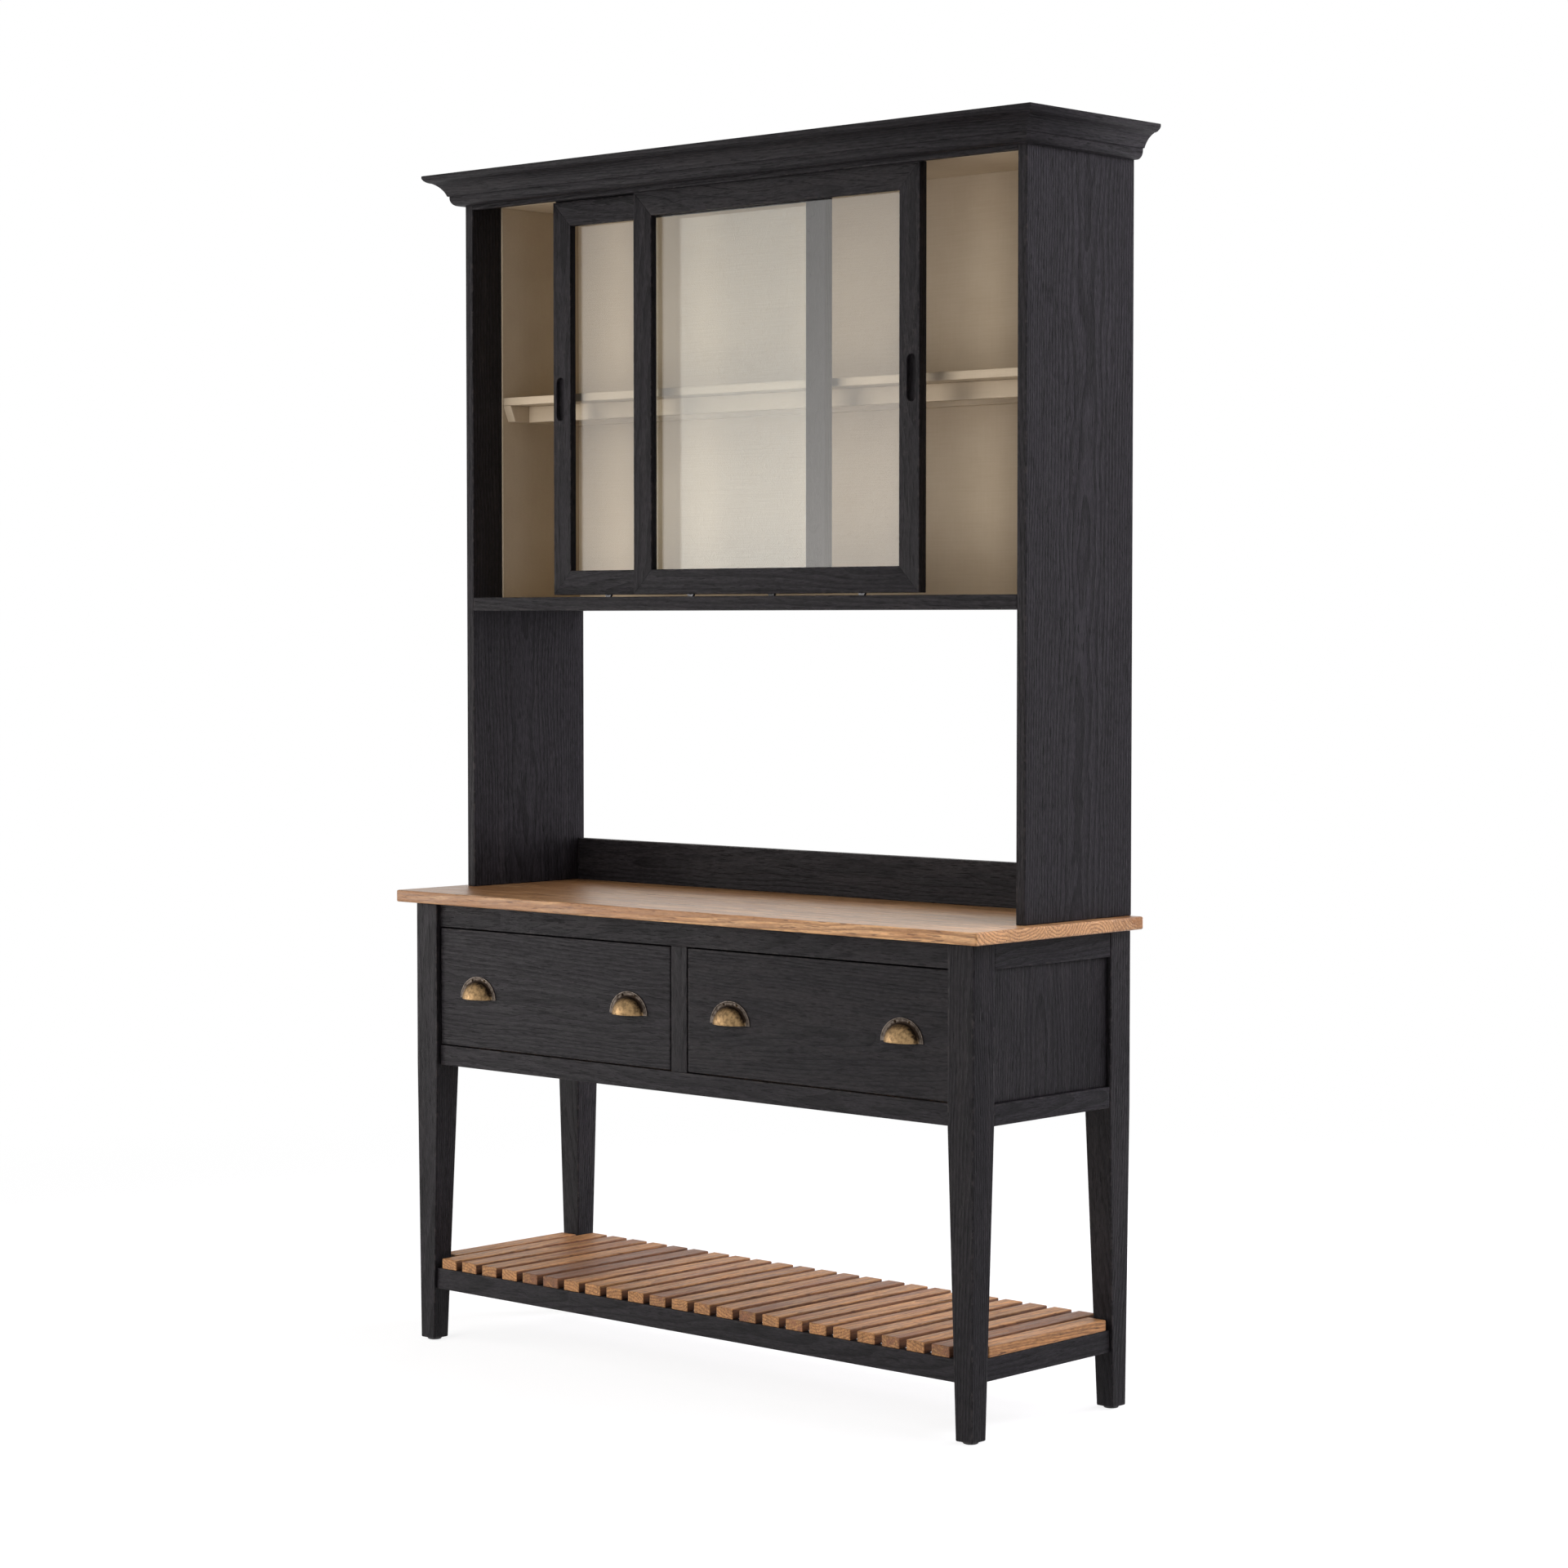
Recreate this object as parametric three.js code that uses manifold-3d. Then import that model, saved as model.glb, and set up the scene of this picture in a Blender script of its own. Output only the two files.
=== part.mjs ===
// A dresser with hutch: a table-like base with two drawers and a slatted shelf, and a glazed
// wall cabinet with two sliding doors that stands on it on two tall sides.
// X runs to the right, Y to the back and Z up. The origin is on the floor under the worktop's middle.
import * as THREE from "three";
import { mergeVertices } from "three/addons/utils/BufferGeometryUtils.js";
import Module from "manifold-3d";

const wasm = await Module();
wasm.setup();

// Driving dimensions in millimetres: the whole dresser and its worktop.
const OVERALL_HEIGHT = 2178;
const WORKTOP_WIDTH = 1400;
const WORKTOP_DEPTH = 446;
const WORKTOP_HEIGHT = 844;
const WORKTOP_THICKNESS = 22;
const WORKTOP_EASING = 1.5;
const FRONT_OVERHANG = 26;
const END_OVERHANG = 27;

// Fits that every piece shares.
const JOINT_GAP = 0.3;
const RUNNING_GAP = 0.5;
const CUT_OVERRUN = 5;

// Legs, tapered below the apron, each on a round glide.
const LEG_TOP_WIDTH = 55;
const LEG_FOOT_WIDTH = 35;
const LEG_OUTER_TAPER = 4;
const APRON_HEIGHT = 302;
const GLIDE_HEIGHT = 4;
const GLIDE_DIAMETER = 26;

// Apron: front rails, ends in frame and panel, back board.
const RAIL_THICKNESS = 20;
const RAIL_SETBACK = 9;
const FRONT_TOP_RAIL_HEIGHT = 44;
const FRONT_BOTTOM_RAIL_HEIGHT = 37;
const DIVIDER_WIDTH = 38;
const END_RAIL_SETBACK = 1;
const END_TOP_RAIL_HEIGHT = 45;
const END_BOTTOM_RAIL_HEIGHT = 36;
const END_PANEL_SETBACK = 8;
const END_PANEL_THICKNESS = 9;
const BASE_BACK_THICKNESS = 8;
const BASE_BACK_SETBACK = 6;

// Drawers and the wooden runners that carry them.
const DRAWER_GAP = 2.5;
const DRAWER_FRONT_THICKNESS = 20;
const DRAWER_BOX_INSET = 7.5;
const DRAWER_BOX_RAISE = 10.5;
const DRAWER_BACK_CLEARANCE = 19;
const DRAWER_SIDE_DROP = 35.5;
const DRAWER_SIDE_THICKNESS = 12;
const DRAWER_BACK_DROP = 20;
const DRAWER_BOTTOM_THICKNESS = 5;
const DRAWER_BOTTOM_RAISE = 12;
const DRAWER_GROOVE_DEPTH = 6;
const RUNNER_LEDGE_THICKNESS = 18;
const RUNNER_LEDGE_REACH = 16;
const RUNNER_GUIDE_HEIGHT = 21;
const RUNNER_SIDE_GAP = 1;

// Cup pulls: a half-oval flange with a domed hood that is open below.
const PULL_WIDTH = 94;
const PULL_HEIGHT = 44;
const PULL_FLANGE_WIDTH = 9;
const PULL_FLANGE_THICKNESS = 2;
const PULL_PROJECTION = 24;
const PULL_METAL = 1.6;
const PULL_PLACE_SHARE = 0.657;

// Slatted shelf under the apron.
const SHELF_RAIL_BOTTOM = 99;
const SHELF_RAIL_HEIGHT = 38.5;
const SHELF_BACK_SETBACK = 16;
const SLAT_THICKNESS = 19;
const SLAT_WIDTH = 38.75;
const SLAT_SPACE = 15.5;
const END_SLAT_INSET = 8.75;
const BATTEN_WIDTH = 30;
const BATTEN_THICKNESS = 15;
const BATTEN_INSET = 80;

// Hutch carcass.
const HUTCH_END_SETBACK = 26;
const HUTCH_DEPTH = 289;
const HUTCH_SIDE_THICKNESS = 19;
const SPLASH_HEIGHT = 80;
const SPLASH_THICKNESS = 17;
const BAY_HEIGHT = 520.5;
const CABINET_FLOOR_THICKNESS = 24.5;
const CEILING_THICKNESS = 18;
const CEILING_TOP_SPACE = 21.5;
const HEAD_LIP_DROP = 10;
const HEAD_LIP_DOOR_GAP = 3;
const CABINET_BACK_THICKNESS = 8;
const CABINET_BACK_SETBACK = 6;
const HUTCH_TOP_THICKNESS = 14;

// Cabinet lining and its one shelf, with the cleats under it.
const LINING_TRACK_GAP = 8;
const LINING_THICKNESS = 4;
const INNER_SHELF_PLACE_SHARE = 0.493;
const INNER_SHELF_THICKNESS = 15;
const CLEAT_HEIGHT = 30;
const CLEAT_WIDTH = 20;
const CLEAT_CHAMFER = 13;
const CROSS_RAIL_SETBACK = 48;
const CROSS_RAIL_THICKNESS = 18;

// Cornice: its height, how far it stands out, and its profile as shares of these two sizes.
const CORNICE_HEIGHT = 56;
const CORNICE_PROJECTION = 55;
const FRIEZE_THICKNESS = 6;
const CORNICE_PROFILE_SHARES = {
  filletFoot: [1, 0.911],
  ovoloFoot: [0.782, 0.75],
  coveFoot: [0.382, 0.321],
  beadTop: [0.327, 0.268],
  beadFoot: [0.109, 0],
};
const OVOLO_SAG_SHARE = 0.027;
const COVE_SAG_SHARE = 0.09;

// Sliding doors and the two tracks that they run in.
const DOOR_OVERLAP = 44;
const DOOR_THICKNESS = 19;
const FRONT_DOOR_SETBACK = 15;
const DOOR_PITCH = 25;
const DOOR_FLOOR_GAP = 4;
const DOOR_HEAD_GAP = 7.5;
const DOOR_MEMBER_WIDTH = 45;
const LEFT_DOOR_OPENED = 176;
const RIGHT_DOOR_OPENED = 223.5;
const GLASS_THICKNESS = 4;
const GLASS_SETBACK = 14.5;
const GLASS_REBATE = 8;
const FINGER_SLOT_WIDTH = 20;
const FINGER_SLOT_LENGTH = 80;
const FINGER_SLOT_DEPTH = 10;
const FINGER_SLOT_INSET = 18;
const TONGUE_THICKNESS = 6;
const TONGUE_REACH = 4.5;
const TONGUE_SIDE_GAP = 1;
const TONGUE_TOP_GAP = 1.5;
const TRACK_THICKNESS = 5;
const TRACK_MARGIN = 6;
const TRACK_GROOVE_DEPTH = 3;
const ROLLER_RADIUS = 8;
const ROLLER_WIDTH = 5;
const ROLLER_CHAMFER = 0.5;
const ROLLER_INSET = 135;
const ROLLER_SIDE_GAP = 0.8;
const ROLLER_TOP_GAP = 1.5;
const AXLE_RADIUS = 2;
const AXLE_REACH = 4;
const AXLE_CLEARANCE = 0.1;

// Facets on round shapes.
const GLIDE_SIDES = 32;
const PULL_SIDES = 48;
const SLOT_ARC_STEPS = 12;
const ROLLER_SIDES = 32;
const MOULDING_ARC_STEPS = 6;

// Places that follow from the sizes above.
const BACK_Y = WORKTOP_DEPTH / 2;
const WORKTOP_UNDERSIDE = WORKTOP_HEIGHT - WORKTOP_THICKNESS;
const APRON_BOTTOM = WORKTOP_UNDERSIDE - APRON_HEIGHT;
const LEG_OUTER_X = WORKTOP_WIDTH / 2 - END_OVERHANG;
const LEG_FRONT_Y = FRONT_OVERHANG - BACK_Y;
const LEG_INNER_X = LEG_OUTER_X - LEG_TOP_WIDTH;
const RAIL_FRONT_Y = LEG_FRONT_Y + RAIL_SETBACK;
const RAIL_BACK_Y = RAIL_FRONT_Y + RAIL_THICKNESS;
const BASE_BACK_Y = BACK_Y - BASE_BACK_SETBACK - BASE_BACK_THICKNESS;
const DRAWER_BOTTOM_Z = APRON_BOTTOM + FRONT_BOTTOM_RAIL_HEIGHT + DRAWER_GAP;
const DRAWER_TOP_Z = WORKTOP_UNDERSIDE - FRONT_TOP_RAIL_HEIGHT - DRAWER_GAP;
const DRAWER_WIDTH = LEG_INNER_X - DIVIDER_WIDTH / 2 - 2 * DRAWER_GAP;
const DRAWER_HEIGHT = DRAWER_TOP_Z - DRAWER_BOTTOM_Z;
const DRAWER_CENTRE_X = (LEG_INNER_X + DIVIDER_WIDTH / 2) / 2;
const SHELF_RAIL_TOP = SHELF_RAIL_BOTTOM + SHELF_RAIL_HEIGHT;
const SHELF_BACK_Y = BACK_Y - SHELF_BACK_SETBACK;
const HUTCH_HALF = WORKTOP_WIDTH / 2 - HUTCH_END_SETBACK;
const HUTCH_INNER = HUTCH_HALF - HUTCH_SIDE_THICKNESS;
const HUTCH_FRONT_Y = BACK_Y - HUTCH_DEPTH;
const CABINET_FLOOR_TOP = BAY_HEIGHT + CABINET_FLOOR_THICKNESS;
const HUTCH_TOP = OVERALL_HEIGHT - WORKTOP_HEIGHT;
const SIDE_TOP = HUTCH_TOP - HUTCH_TOP_THICKNESS;
const CEILING_UNDERSIDE = SIDE_TOP - CEILING_TOP_SPACE - CEILING_THICKNESS;
const CABINET_HEIGHT = CEILING_UNDERSIDE - CABINET_FLOOR_TOP;
const CABINET_BACK_FRONT = HUTCH_DEPTH - CABINET_BACK_SETBACK - CABINET_BACK_THICKNESS;
const LINING_INNER = HUTCH_INNER - LINING_THICKNESS;
const INNER_SHELF_BOTTOM = CABINET_FLOOR_TOP + CABINET_HEIGHT * INNER_SHELF_PLACE_SHARE;
const INNER_SHELF_TOP = INNER_SHELF_BOTTOM + INNER_SHELF_THICKNESS;
const DOOR_WIDTH = HUTCH_INNER + DOOR_OVERLAP / 2;
const DOOR_HEIGHT = CABINET_HEIGHT - DOOR_FLOOR_GAP - DOOR_HEAD_GAP;
const TONGUE_HEIGHT = DOOR_HEAD_GAP + TONGUE_REACH;
const DOOR_CENTRES = [0, 1].map(
  (row) => FRONT_DOOR_SETBACK + row * DOOR_PITCH + DOOR_THICKNESS / 2,
);
const TRACK_FRONT = FRONT_DOOR_SETBACK - TRACK_MARGIN;
const TRACK_BACK = FRONT_DOOR_SETBACK + DOOR_PITCH + DOOR_THICKNESS + TRACK_MARGIN;
const LINING_SETBACK = TRACK_BACK + LINING_TRACK_GAP;

// Finishes: colour, roughness and metalness as in life.
function finish(color, roughness, metalness = 0, extra = {}) {
  return new THREE.MeshStandardMaterial({ color, roughness, metalness, ...extra });
}
const BLACK_WOOD = finish(0x343233, 0.62);
const OAK = finish(0xc39a6c, 0.55);
const SLAT_WOOD = finish(0xa57c58, 0.65);
const CREAM_PAINT = finish(0xcdbd9d, 0.6);
const DRAWER_WOOD = finish(0xcaa877, 0.7);
const BRASS = finish(0xa98a55, 0.38, 1);
const GLASS = finish(0xdfe9e6, 0.05, 0, { transparent: true, opacity: 0.25 });
const ALUMINIUM = finish(0x9a9b9d, 0.4, 1);
const STEEL = finish(0xb9bbbd, 0.3, 1);
const GLIDE_PLASTIC = finish(0x1c1c1d, 0.6);

// A box with one corner at the origin and sides of 1, which each board stretches to its size.
const UNIT_BOX = new THREE.BoxGeometry(1, 1, 1).translate(0.5, 0.5, 0.5);

// A board from its two ends along each axis.
function board(name, material, x, y, z) {
  const mesh = new THREE.Mesh(UNIT_BOX, material);
  mesh.name = name;
  mesh.position.set(x[0], y[0], z[0]);
  mesh.scale.set(x[1] - x[0], y[1] - y[0], z[1] - z[0]);
  return mesh;
}

function piece(name, material, geometry) {
  const mesh = new THREE.Mesh(geometry, material);
  mesh.name = name;
  return mesh;
}

// Turns a closed geometry into a solid that can be joined and cut.
function solid(geometry) {
  const bare = (geometry.index ? geometry.toNonIndexed() : geometry.clone());
  bare.deleteAttribute("normal");
  bare.deleteAttribute("uv");
  const merged = mergeVertices(bare);
  const made = new wasm.Manifold(
    new wasm.Mesh({
      numProp: 3,
      vertProperties: merged.attributes.position.array,
      triVerts: new Uint32Array(merged.index.array),
    }),
  );
  return made;
}

function geometryOf(made) {
  const mesh = made.getMesh();
  const geometry = new THREE.BufferGeometry();
  geometry.setAttribute("position", new THREE.BufferAttribute(mesh.vertProperties, 3));
  geometry.setIndex(new THREE.BufferAttribute(mesh.triVerts, 1));
  geometry.computeVertexNormals();
  return geometry;
}

function block(x, y, z) {
  const size = [x, y, z].map(([from, to]) => to - from);
  const box = UNIT_BOX.clone().scale(...size).translate(x[0], y[0], z[0]);
  return solid(box);
}

function join(solids) {
  return solids.reduce((whole, next) => whole.add(next));
}

function cut(whole, tools) {
  return tools.reduce((left, tool) => left.subtract(tool), whole);
}

// A closed solid through one outline at several places, where a place maps an outline point to space.
function loft(drawn, places) {
  const outline = THREE.ShapeUtils.isClockWise(drawn) ? drawn.slice().reverse() : drawn;
  const count = outline.length;
  const positions = places.flatMap((place) => outline.flatMap((point) => place(point)));
  const faces = [];
  for (let ring = 0; ring < places.length - 1; ring += 1) {
    for (let i = 0; i < count; i += 1) {
      const a = ring * count + i;
      const b = ring * count + ((i + 1) % count);
      faces.push([a, b, b + count], [a, b + count, a + count]);
    }
  }
  const last = (places.length - 1) * count;
  for (const [a, b, c] of THREE.ShapeUtils.triangulateShape(outline, [])) {
    faces.push([a, c, b], [last + a, last + b, last + c]);
  }
  const geometry = new THREE.BufferGeometry();
  geometry.setAttribute("position", new THREE.Float32BufferAttribute(positions, 3));
  geometry.setIndex(facesOutward(positions, faces).flat());
  geometry.computeVertexNormals();
  return geometry;
}

// Turns every face round when the faces enclose a negative volume.
function facesOutward(positions, faces) {
  const corner = (i) => new THREE.Vector3().fromArray(positions, 3 * i);
  const volume = faces.reduce((sum, [a, b, c]) => {
    return sum + corner(a).dot(corner(b).cross(corner(c)));
  }, 0);
  return volume < 0 ? faces.map(([a, b, c]) => [a, c, b]) : faces;
}

// The corners of a unit square: loft places stretch it to a rectangle.
const UNIT_SQUARE = [[0, 0], [1, 0], [1, 1], [0, 1]].map(([x, y]) => new THREE.Vector2(x, y));

function between(range, share) {
  return range[0] + (range[1] - range[0]) * share;
}

// Points on a circular arc that starts at one point, ends at another and sags by a given height.
function arcPoints(start, end, sag, steps) {
  const chord = end.clone().sub(start);
  const half = chord.length() / 2;
  const radius = (half * half + sag * sag) / (2 * Math.abs(sag));
  const side = Math.sign(sag);
  const normal = new THREE.Vector2(-chord.y, chord.x).normalize().multiplyScalar(side);
  const centre = start.clone().add(end).multiplyScalar(1 / 2);
  centre.addScaledVector(normal, Math.abs(sag) - radius);
  const from = start.clone().sub(centre).angle();
  const sweep = 2 * Math.asin(Math.min(1, half / radius)) * -side;
  return Array.from({ length: steps + 1 }, (_, i) => {
    const angle = from + (sweep * i) / steps;
    return new THREE.Vector2(Math.cos(angle), Math.sin(angle)).multiplyScalar(radius).add(centre);
  });
}

// How far a leg's outer and inner faces lie from its outer corner line at height z.
function legFaces(z) {
  const fall = APRON_BOTTOM - z;
  const share = THREE.MathUtils.clamp(fall / (APRON_BOTTOM - GLIDE_HEIGHT), 0, 1);
  const outer = LEG_OUTER_TAPER * share;
  const inner = LEG_TOP_WIDTH + (LEG_FOOT_WIDTH + LEG_OUTER_TAPER - LEG_TOP_WIDTH) * share;
  return [outer, inner];
}

function legGeometry(sideX, sideY) {
  const cornerX = sideX * LEG_OUTER_X;
  const cornerY = sideY < 0 ? LEG_FRONT_Y : BACK_Y;
  const places = [GLIDE_HEIGHT, APRON_BOTTOM, WORKTOP_UNDERSIDE].map((z) => (point) => [
    cornerX - sideX * between(legFaces(z), point.x),
    cornerY - sideY * between(legFaces(z), point.y),
    z,
  ]);
  return loft(UNIT_SQUARE, places);
}

function legs() {
  const group = new THREE.Group();
  const footCentre = LEG_OUTER_TAPER + LEG_FOOT_WIDTH / 2;
  for (const [side, sideX] of [["left", -1], ["right", 1]]) {
    for (const [end, sideY] of [["front", -1], ["back", 1]]) {
      group.add(piece(`leg_${end}_${side}`, BLACK_WOOD, legGeometry(sideX, sideY)));
      const disc = new THREE.CylinderGeometry(
        GLIDE_DIAMETER / 2,
        GLIDE_DIAMETER / 2,
        GLIDE_HEIGHT,
        GLIDE_SIDES,
      );
      const glide = piece(`foot_glide_${end}_${side}`, GLIDE_PLASTIC, disc);
      glide.rotation.x = Math.PI / 2;
      glide.position.set(
        sideX * (LEG_OUTER_X - footCentre),
        (sideY < 0 ? LEG_FRONT_Y : BACK_Y) - sideY * footCentre,
        GLIDE_HEIGHT / 2,
      );
      group.add(glide);
    }
  }
  return group;
}

function worktop() {
  const x = WORKTOP_WIDTH / 2;
  const inset = (z, by) => (point) => [
    between([by - x, x - by], point.x),
    between([by - BACK_Y, BACK_Y - by], point.y),
    z,
  ];
  const slab = loft(UNIT_SQUARE, [
    inset(WORKTOP_UNDERSIDE, WORKTOP_EASING),
    inset(WORKTOP_UNDERSIDE + WORKTOP_EASING, 0),
    inset(WORKTOP_HEIGHT - WORKTOP_EASING, 0),
    inset(WORKTOP_HEIGHT, WORKTOP_EASING),
  ]);
  return piece("worktop", OAK, slab);
}

function frontFrame() {
  const group = new THREE.Group();
  const x = [JOINT_GAP - LEG_INNER_X, LEG_INNER_X - JOINT_GAP];
  const y = [RAIL_FRONT_Y, RAIL_BACK_Y];
  const topRailBottom = WORKTOP_UNDERSIDE - FRONT_TOP_RAIL_HEIGHT;
  const bottomRailTop = APRON_BOTTOM + FRONT_BOTTOM_RAIL_HEIGHT;
  const half = DIVIDER_WIDTH / 2;
  group.add(board("front_top_rail", BLACK_WOOD, x, y, [topRailBottom, WORKTOP_UNDERSIDE]));
  group.add(board("front_bottom_rail", BLACK_WOOD, x, y, [APRON_BOTTOM, bottomRailTop]));
  group.add(board("drawer_divider", BLACK_WOOD, [-half, half], y, [bottomRailTop, topRailBottom]));
  return group;
}

// Orders a pair of places so that it runs from the lower to the higher.
function ordered(a, b) {
  return [Math.min(a, b), Math.max(a, b)];
}

function endFrames() {
  const group = new THREE.Group();
  const y = [
    LEG_FRONT_Y + LEG_TOP_WIDTH + JOINT_GAP,
    BACK_Y - LEG_TOP_WIDTH - JOINT_GAP,
  ];
  const railOuter = LEG_OUTER_X - END_RAIL_SETBACK;
  const panelOuter = railOuter - END_PANEL_SETBACK;
  const topRailBottom = WORKTOP_UNDERSIDE - END_TOP_RAIL_HEIGHT;
  const bottomRailTop = APRON_BOTTOM + END_BOTTOM_RAIL_HEIGHT;
  for (const [side, sign] of [["left", -1], ["right", 1]]) {
    const rail = ordered(sign * railOuter, sign * (railOuter - RAIL_THICKNESS));
    const panel = ordered(sign * panelOuter, sign * (panelOuter - END_PANEL_THICKNESS));
    group.add(board(`end_top_rail_${side}`, BLACK_WOOD, rail, y, [topRailBottom, WORKTOP_UNDERSIDE]));
    group.add(board(`end_bottom_rail_${side}`, BLACK_WOOD, rail, y, [APRON_BOTTOM, bottomRailTop]));
    group.add(board(`end_panel_${side}`, BLACK_WOOD, panel, y, [bottomRailTop, topRailBottom]));
  }
  return group;
}

function baseBack() {
  return board(
    "base_back",
    BLACK_WOOD,
    [JOINT_GAP - LEG_INNER_X, LEG_INNER_X - JOINT_GAP],
    [BASE_BACK_Y, BASE_BACK_Y + BASE_BACK_THICKNESS],
    [APRON_BOTTOM, WORKTOP_UNDERSIDE],
  );
}

// Runners: a ledge under a drawer side and a guide beside it.
function drawerRunners() {
  const group = new THREE.Group();
  const y = [RAIL_BACK_Y + JOINT_GAP, BASE_BACK_Y - JOINT_GAP];
  const ledgeTop = DRAWER_BOTTOM_Z + DRAWER_BOX_RAISE - RUNNING_GAP;
  const ledge = [ledgeTop - RUNNER_LEDGE_THICKNESS, ledgeTop];
  const guide = [ledgeTop - RUNNER_LEDGE_THICKNESS, ledgeTop + RUNNER_GUIDE_HEIGHT];
  const boxOuter = DRAWER_WIDTH / 2 - DRAWER_BOX_INSET;
  const outerGuide = DRAWER_CENTRE_X + boxOuter + RUNNER_SIDE_GAP;
  const innerGuide = DRAWER_CENTRE_X - boxOuter - RUNNER_SIDE_GAP;
  const wall = LEG_INNER_X - JOINT_GAP;
  for (const [side, sign] of [["left", -1], ["right", 1]]) {
    const runner = join([
      block(ordered(sign * (outerGuide - RUNNER_LEDGE_REACH), sign * wall), y, ledge),
      block(ordered(sign * outerGuide, sign * wall), y, guide),
    ]);
    group.add(piece(`drawer_runner_${side}`, DRAWER_WOOD, geometryOf(runner)));
  }
  const reach = innerGuide + RUNNER_LEDGE_REACH;
  const centre = join([
    block([-reach, reach], y, ledge),
    block([-innerGuide, innerGuide], y, guide),
  ]);
  group.add(piece("drawer_runner_centre", DRAWER_WOOD, geometryOf(centre)));
  return group;
}

function ellipsoid(radiusX, radiusY, radiusZ) {
  const ball = new THREE.SphereGeometry(1, PULL_SIDES, PULL_SIDES / 2);
  return solid(ball.scale(radiusX, radiusY, radiusZ));
}

// A cup pull whose back lies on y = 0 and whose open edge lies on z = 0.
function pullGeometry() {
  const half = PULL_WIDTH / 2;
  const hood = [half - PULL_FLANGE_WIDTH, PULL_PROJECTION, PULL_HEIGHT - PULL_FLANGE_WIDTH];
  const outer = ellipsoid(...hood);
  const inner = ellipsoid(...hood.map((radius) => radius - PULL_METAL));
  const oval = new THREE.Shape().absellipse(0, 0, half, PULL_HEIGHT, 0, Math.PI);
  const flange = new THREE.ExtrudeGeometry(oval, {
    depth: PULL_FLANGE_THICKNESS,
    bevelEnabled: false,
    curveSegments: PULL_SIDES / 2,
  });
  flange.rotateX(Math.PI / 2);
  const quarter = block(
    [-half, half],
    [-PULL_PROJECTION - CUT_OVERRUN, 0],
    [0, PULL_HEIGHT],
  );
  const whole = outer.intersect(quarter).add(solid(flange));
  return geometryOf(whole.subtract(inner));
}

// A drawer in its own group: x from its middle, y from its front face, z from its bottom edge.
function drawer(side, sign, pull) {
  const group = new THREE.Group();
  group.position.set(sign * DRAWER_CENTRE_X, RAIL_FRONT_Y, DRAWER_BOTTOM_Z);
  const half = DRAWER_WIDTH / 2;
  const outer = half - DRAWER_BOX_INSET;
  const inner = outer - DRAWER_SIDE_THICKNESS;
  const frontBack = DRAWER_FRONT_THICKNESS;
  const boxStart = frontBack + JOINT_GAP;
  const boxEnd = BASE_BACK_Y - RAIL_FRONT_Y - DRAWER_BACK_CLEARANCE;
  const backStart = boxEnd - DRAWER_SIDE_THICKNESS;
  const base = DRAWER_BOX_RAISE;
  const sideTop = DRAWER_HEIGHT - DRAWER_SIDE_DROP;
  const backTop = sideTop - DRAWER_BACK_DROP;
  const bottomStart = base + DRAWER_BOTTOM_RAISE;
  const bottom = [bottomStart, bottomStart + DRAWER_BOTTOM_THICKNESS];
  const grooved = inner + DRAWER_GROOVE_DEPTH;
  const groovedBack = backStart + DRAWER_GROOVE_DEPTH;
  const walls = join([
    block([-outer, -inner], [boxStart, boxEnd], [base, sideTop]),
    block([inner, outer], [boxStart, boxEnd], [base, sideTop]),
    block([-outer, outer], [backStart, boxEnd], [base, backTop]),
  ]);
  const groove = block([-grooved, grooved], [frontBack - CUT_OVERRUN, groovedBack], [
    bottom[0] - JOINT_GAP,
    bottom[1] + JOINT_GAP,
  ]);
  const panelHalf = grooved - JOINT_GAP;
  group.add(
    board(`drawer_front_${side}`, BLACK_WOOD, [-half, half], [0, frontBack], [0, DRAWER_HEIGHT]),
    piece(`drawer_box_${side}`, DRAWER_WOOD, geometryOf(cut(walls, [groove]))),
    board(
      `drawer_bottom_${side}`,
      DRAWER_WOOD,
      [-panelHalf, panelHalf],
      [boxStart, groovedBack - JOINT_GAP],
      bottom,
    ),
  );
  for (const [place, pullSign] of [["outer", sign], ["inner", -sign]]) {
    const handle = piece(`cup_pull_${side}_${place}`, BRASS, pull);
    const across = (DRAWER_WIDTH / 2) * PULL_PLACE_SHARE;
    handle.position.set(pullSign * across, 0, (DRAWER_HEIGHT - PULL_HEIGHT) / 2);
    group.add(handle);
  }
  return group;
}

// A shelf rail whose ends follow the tapered legs; it runs along X, or along Y at the ends.
function shelfRail(name, along, across, alongX) {
  const places = [SHELF_RAIL_BOTTOM, SHELF_RAIL_TOP].map((z) => (point) => {
    const inner = legFaces(z)[1] + JOINT_GAP;
    const length = between([along[0] + inner, along[1] - inner], point.x);
    const width = between(across, point.y);
    return alongX ? [length, width, z] : [width, length, z];
  });
  return piece(name, BLACK_WOOD, loft(UNIT_SQUARE, places));
}

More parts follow.
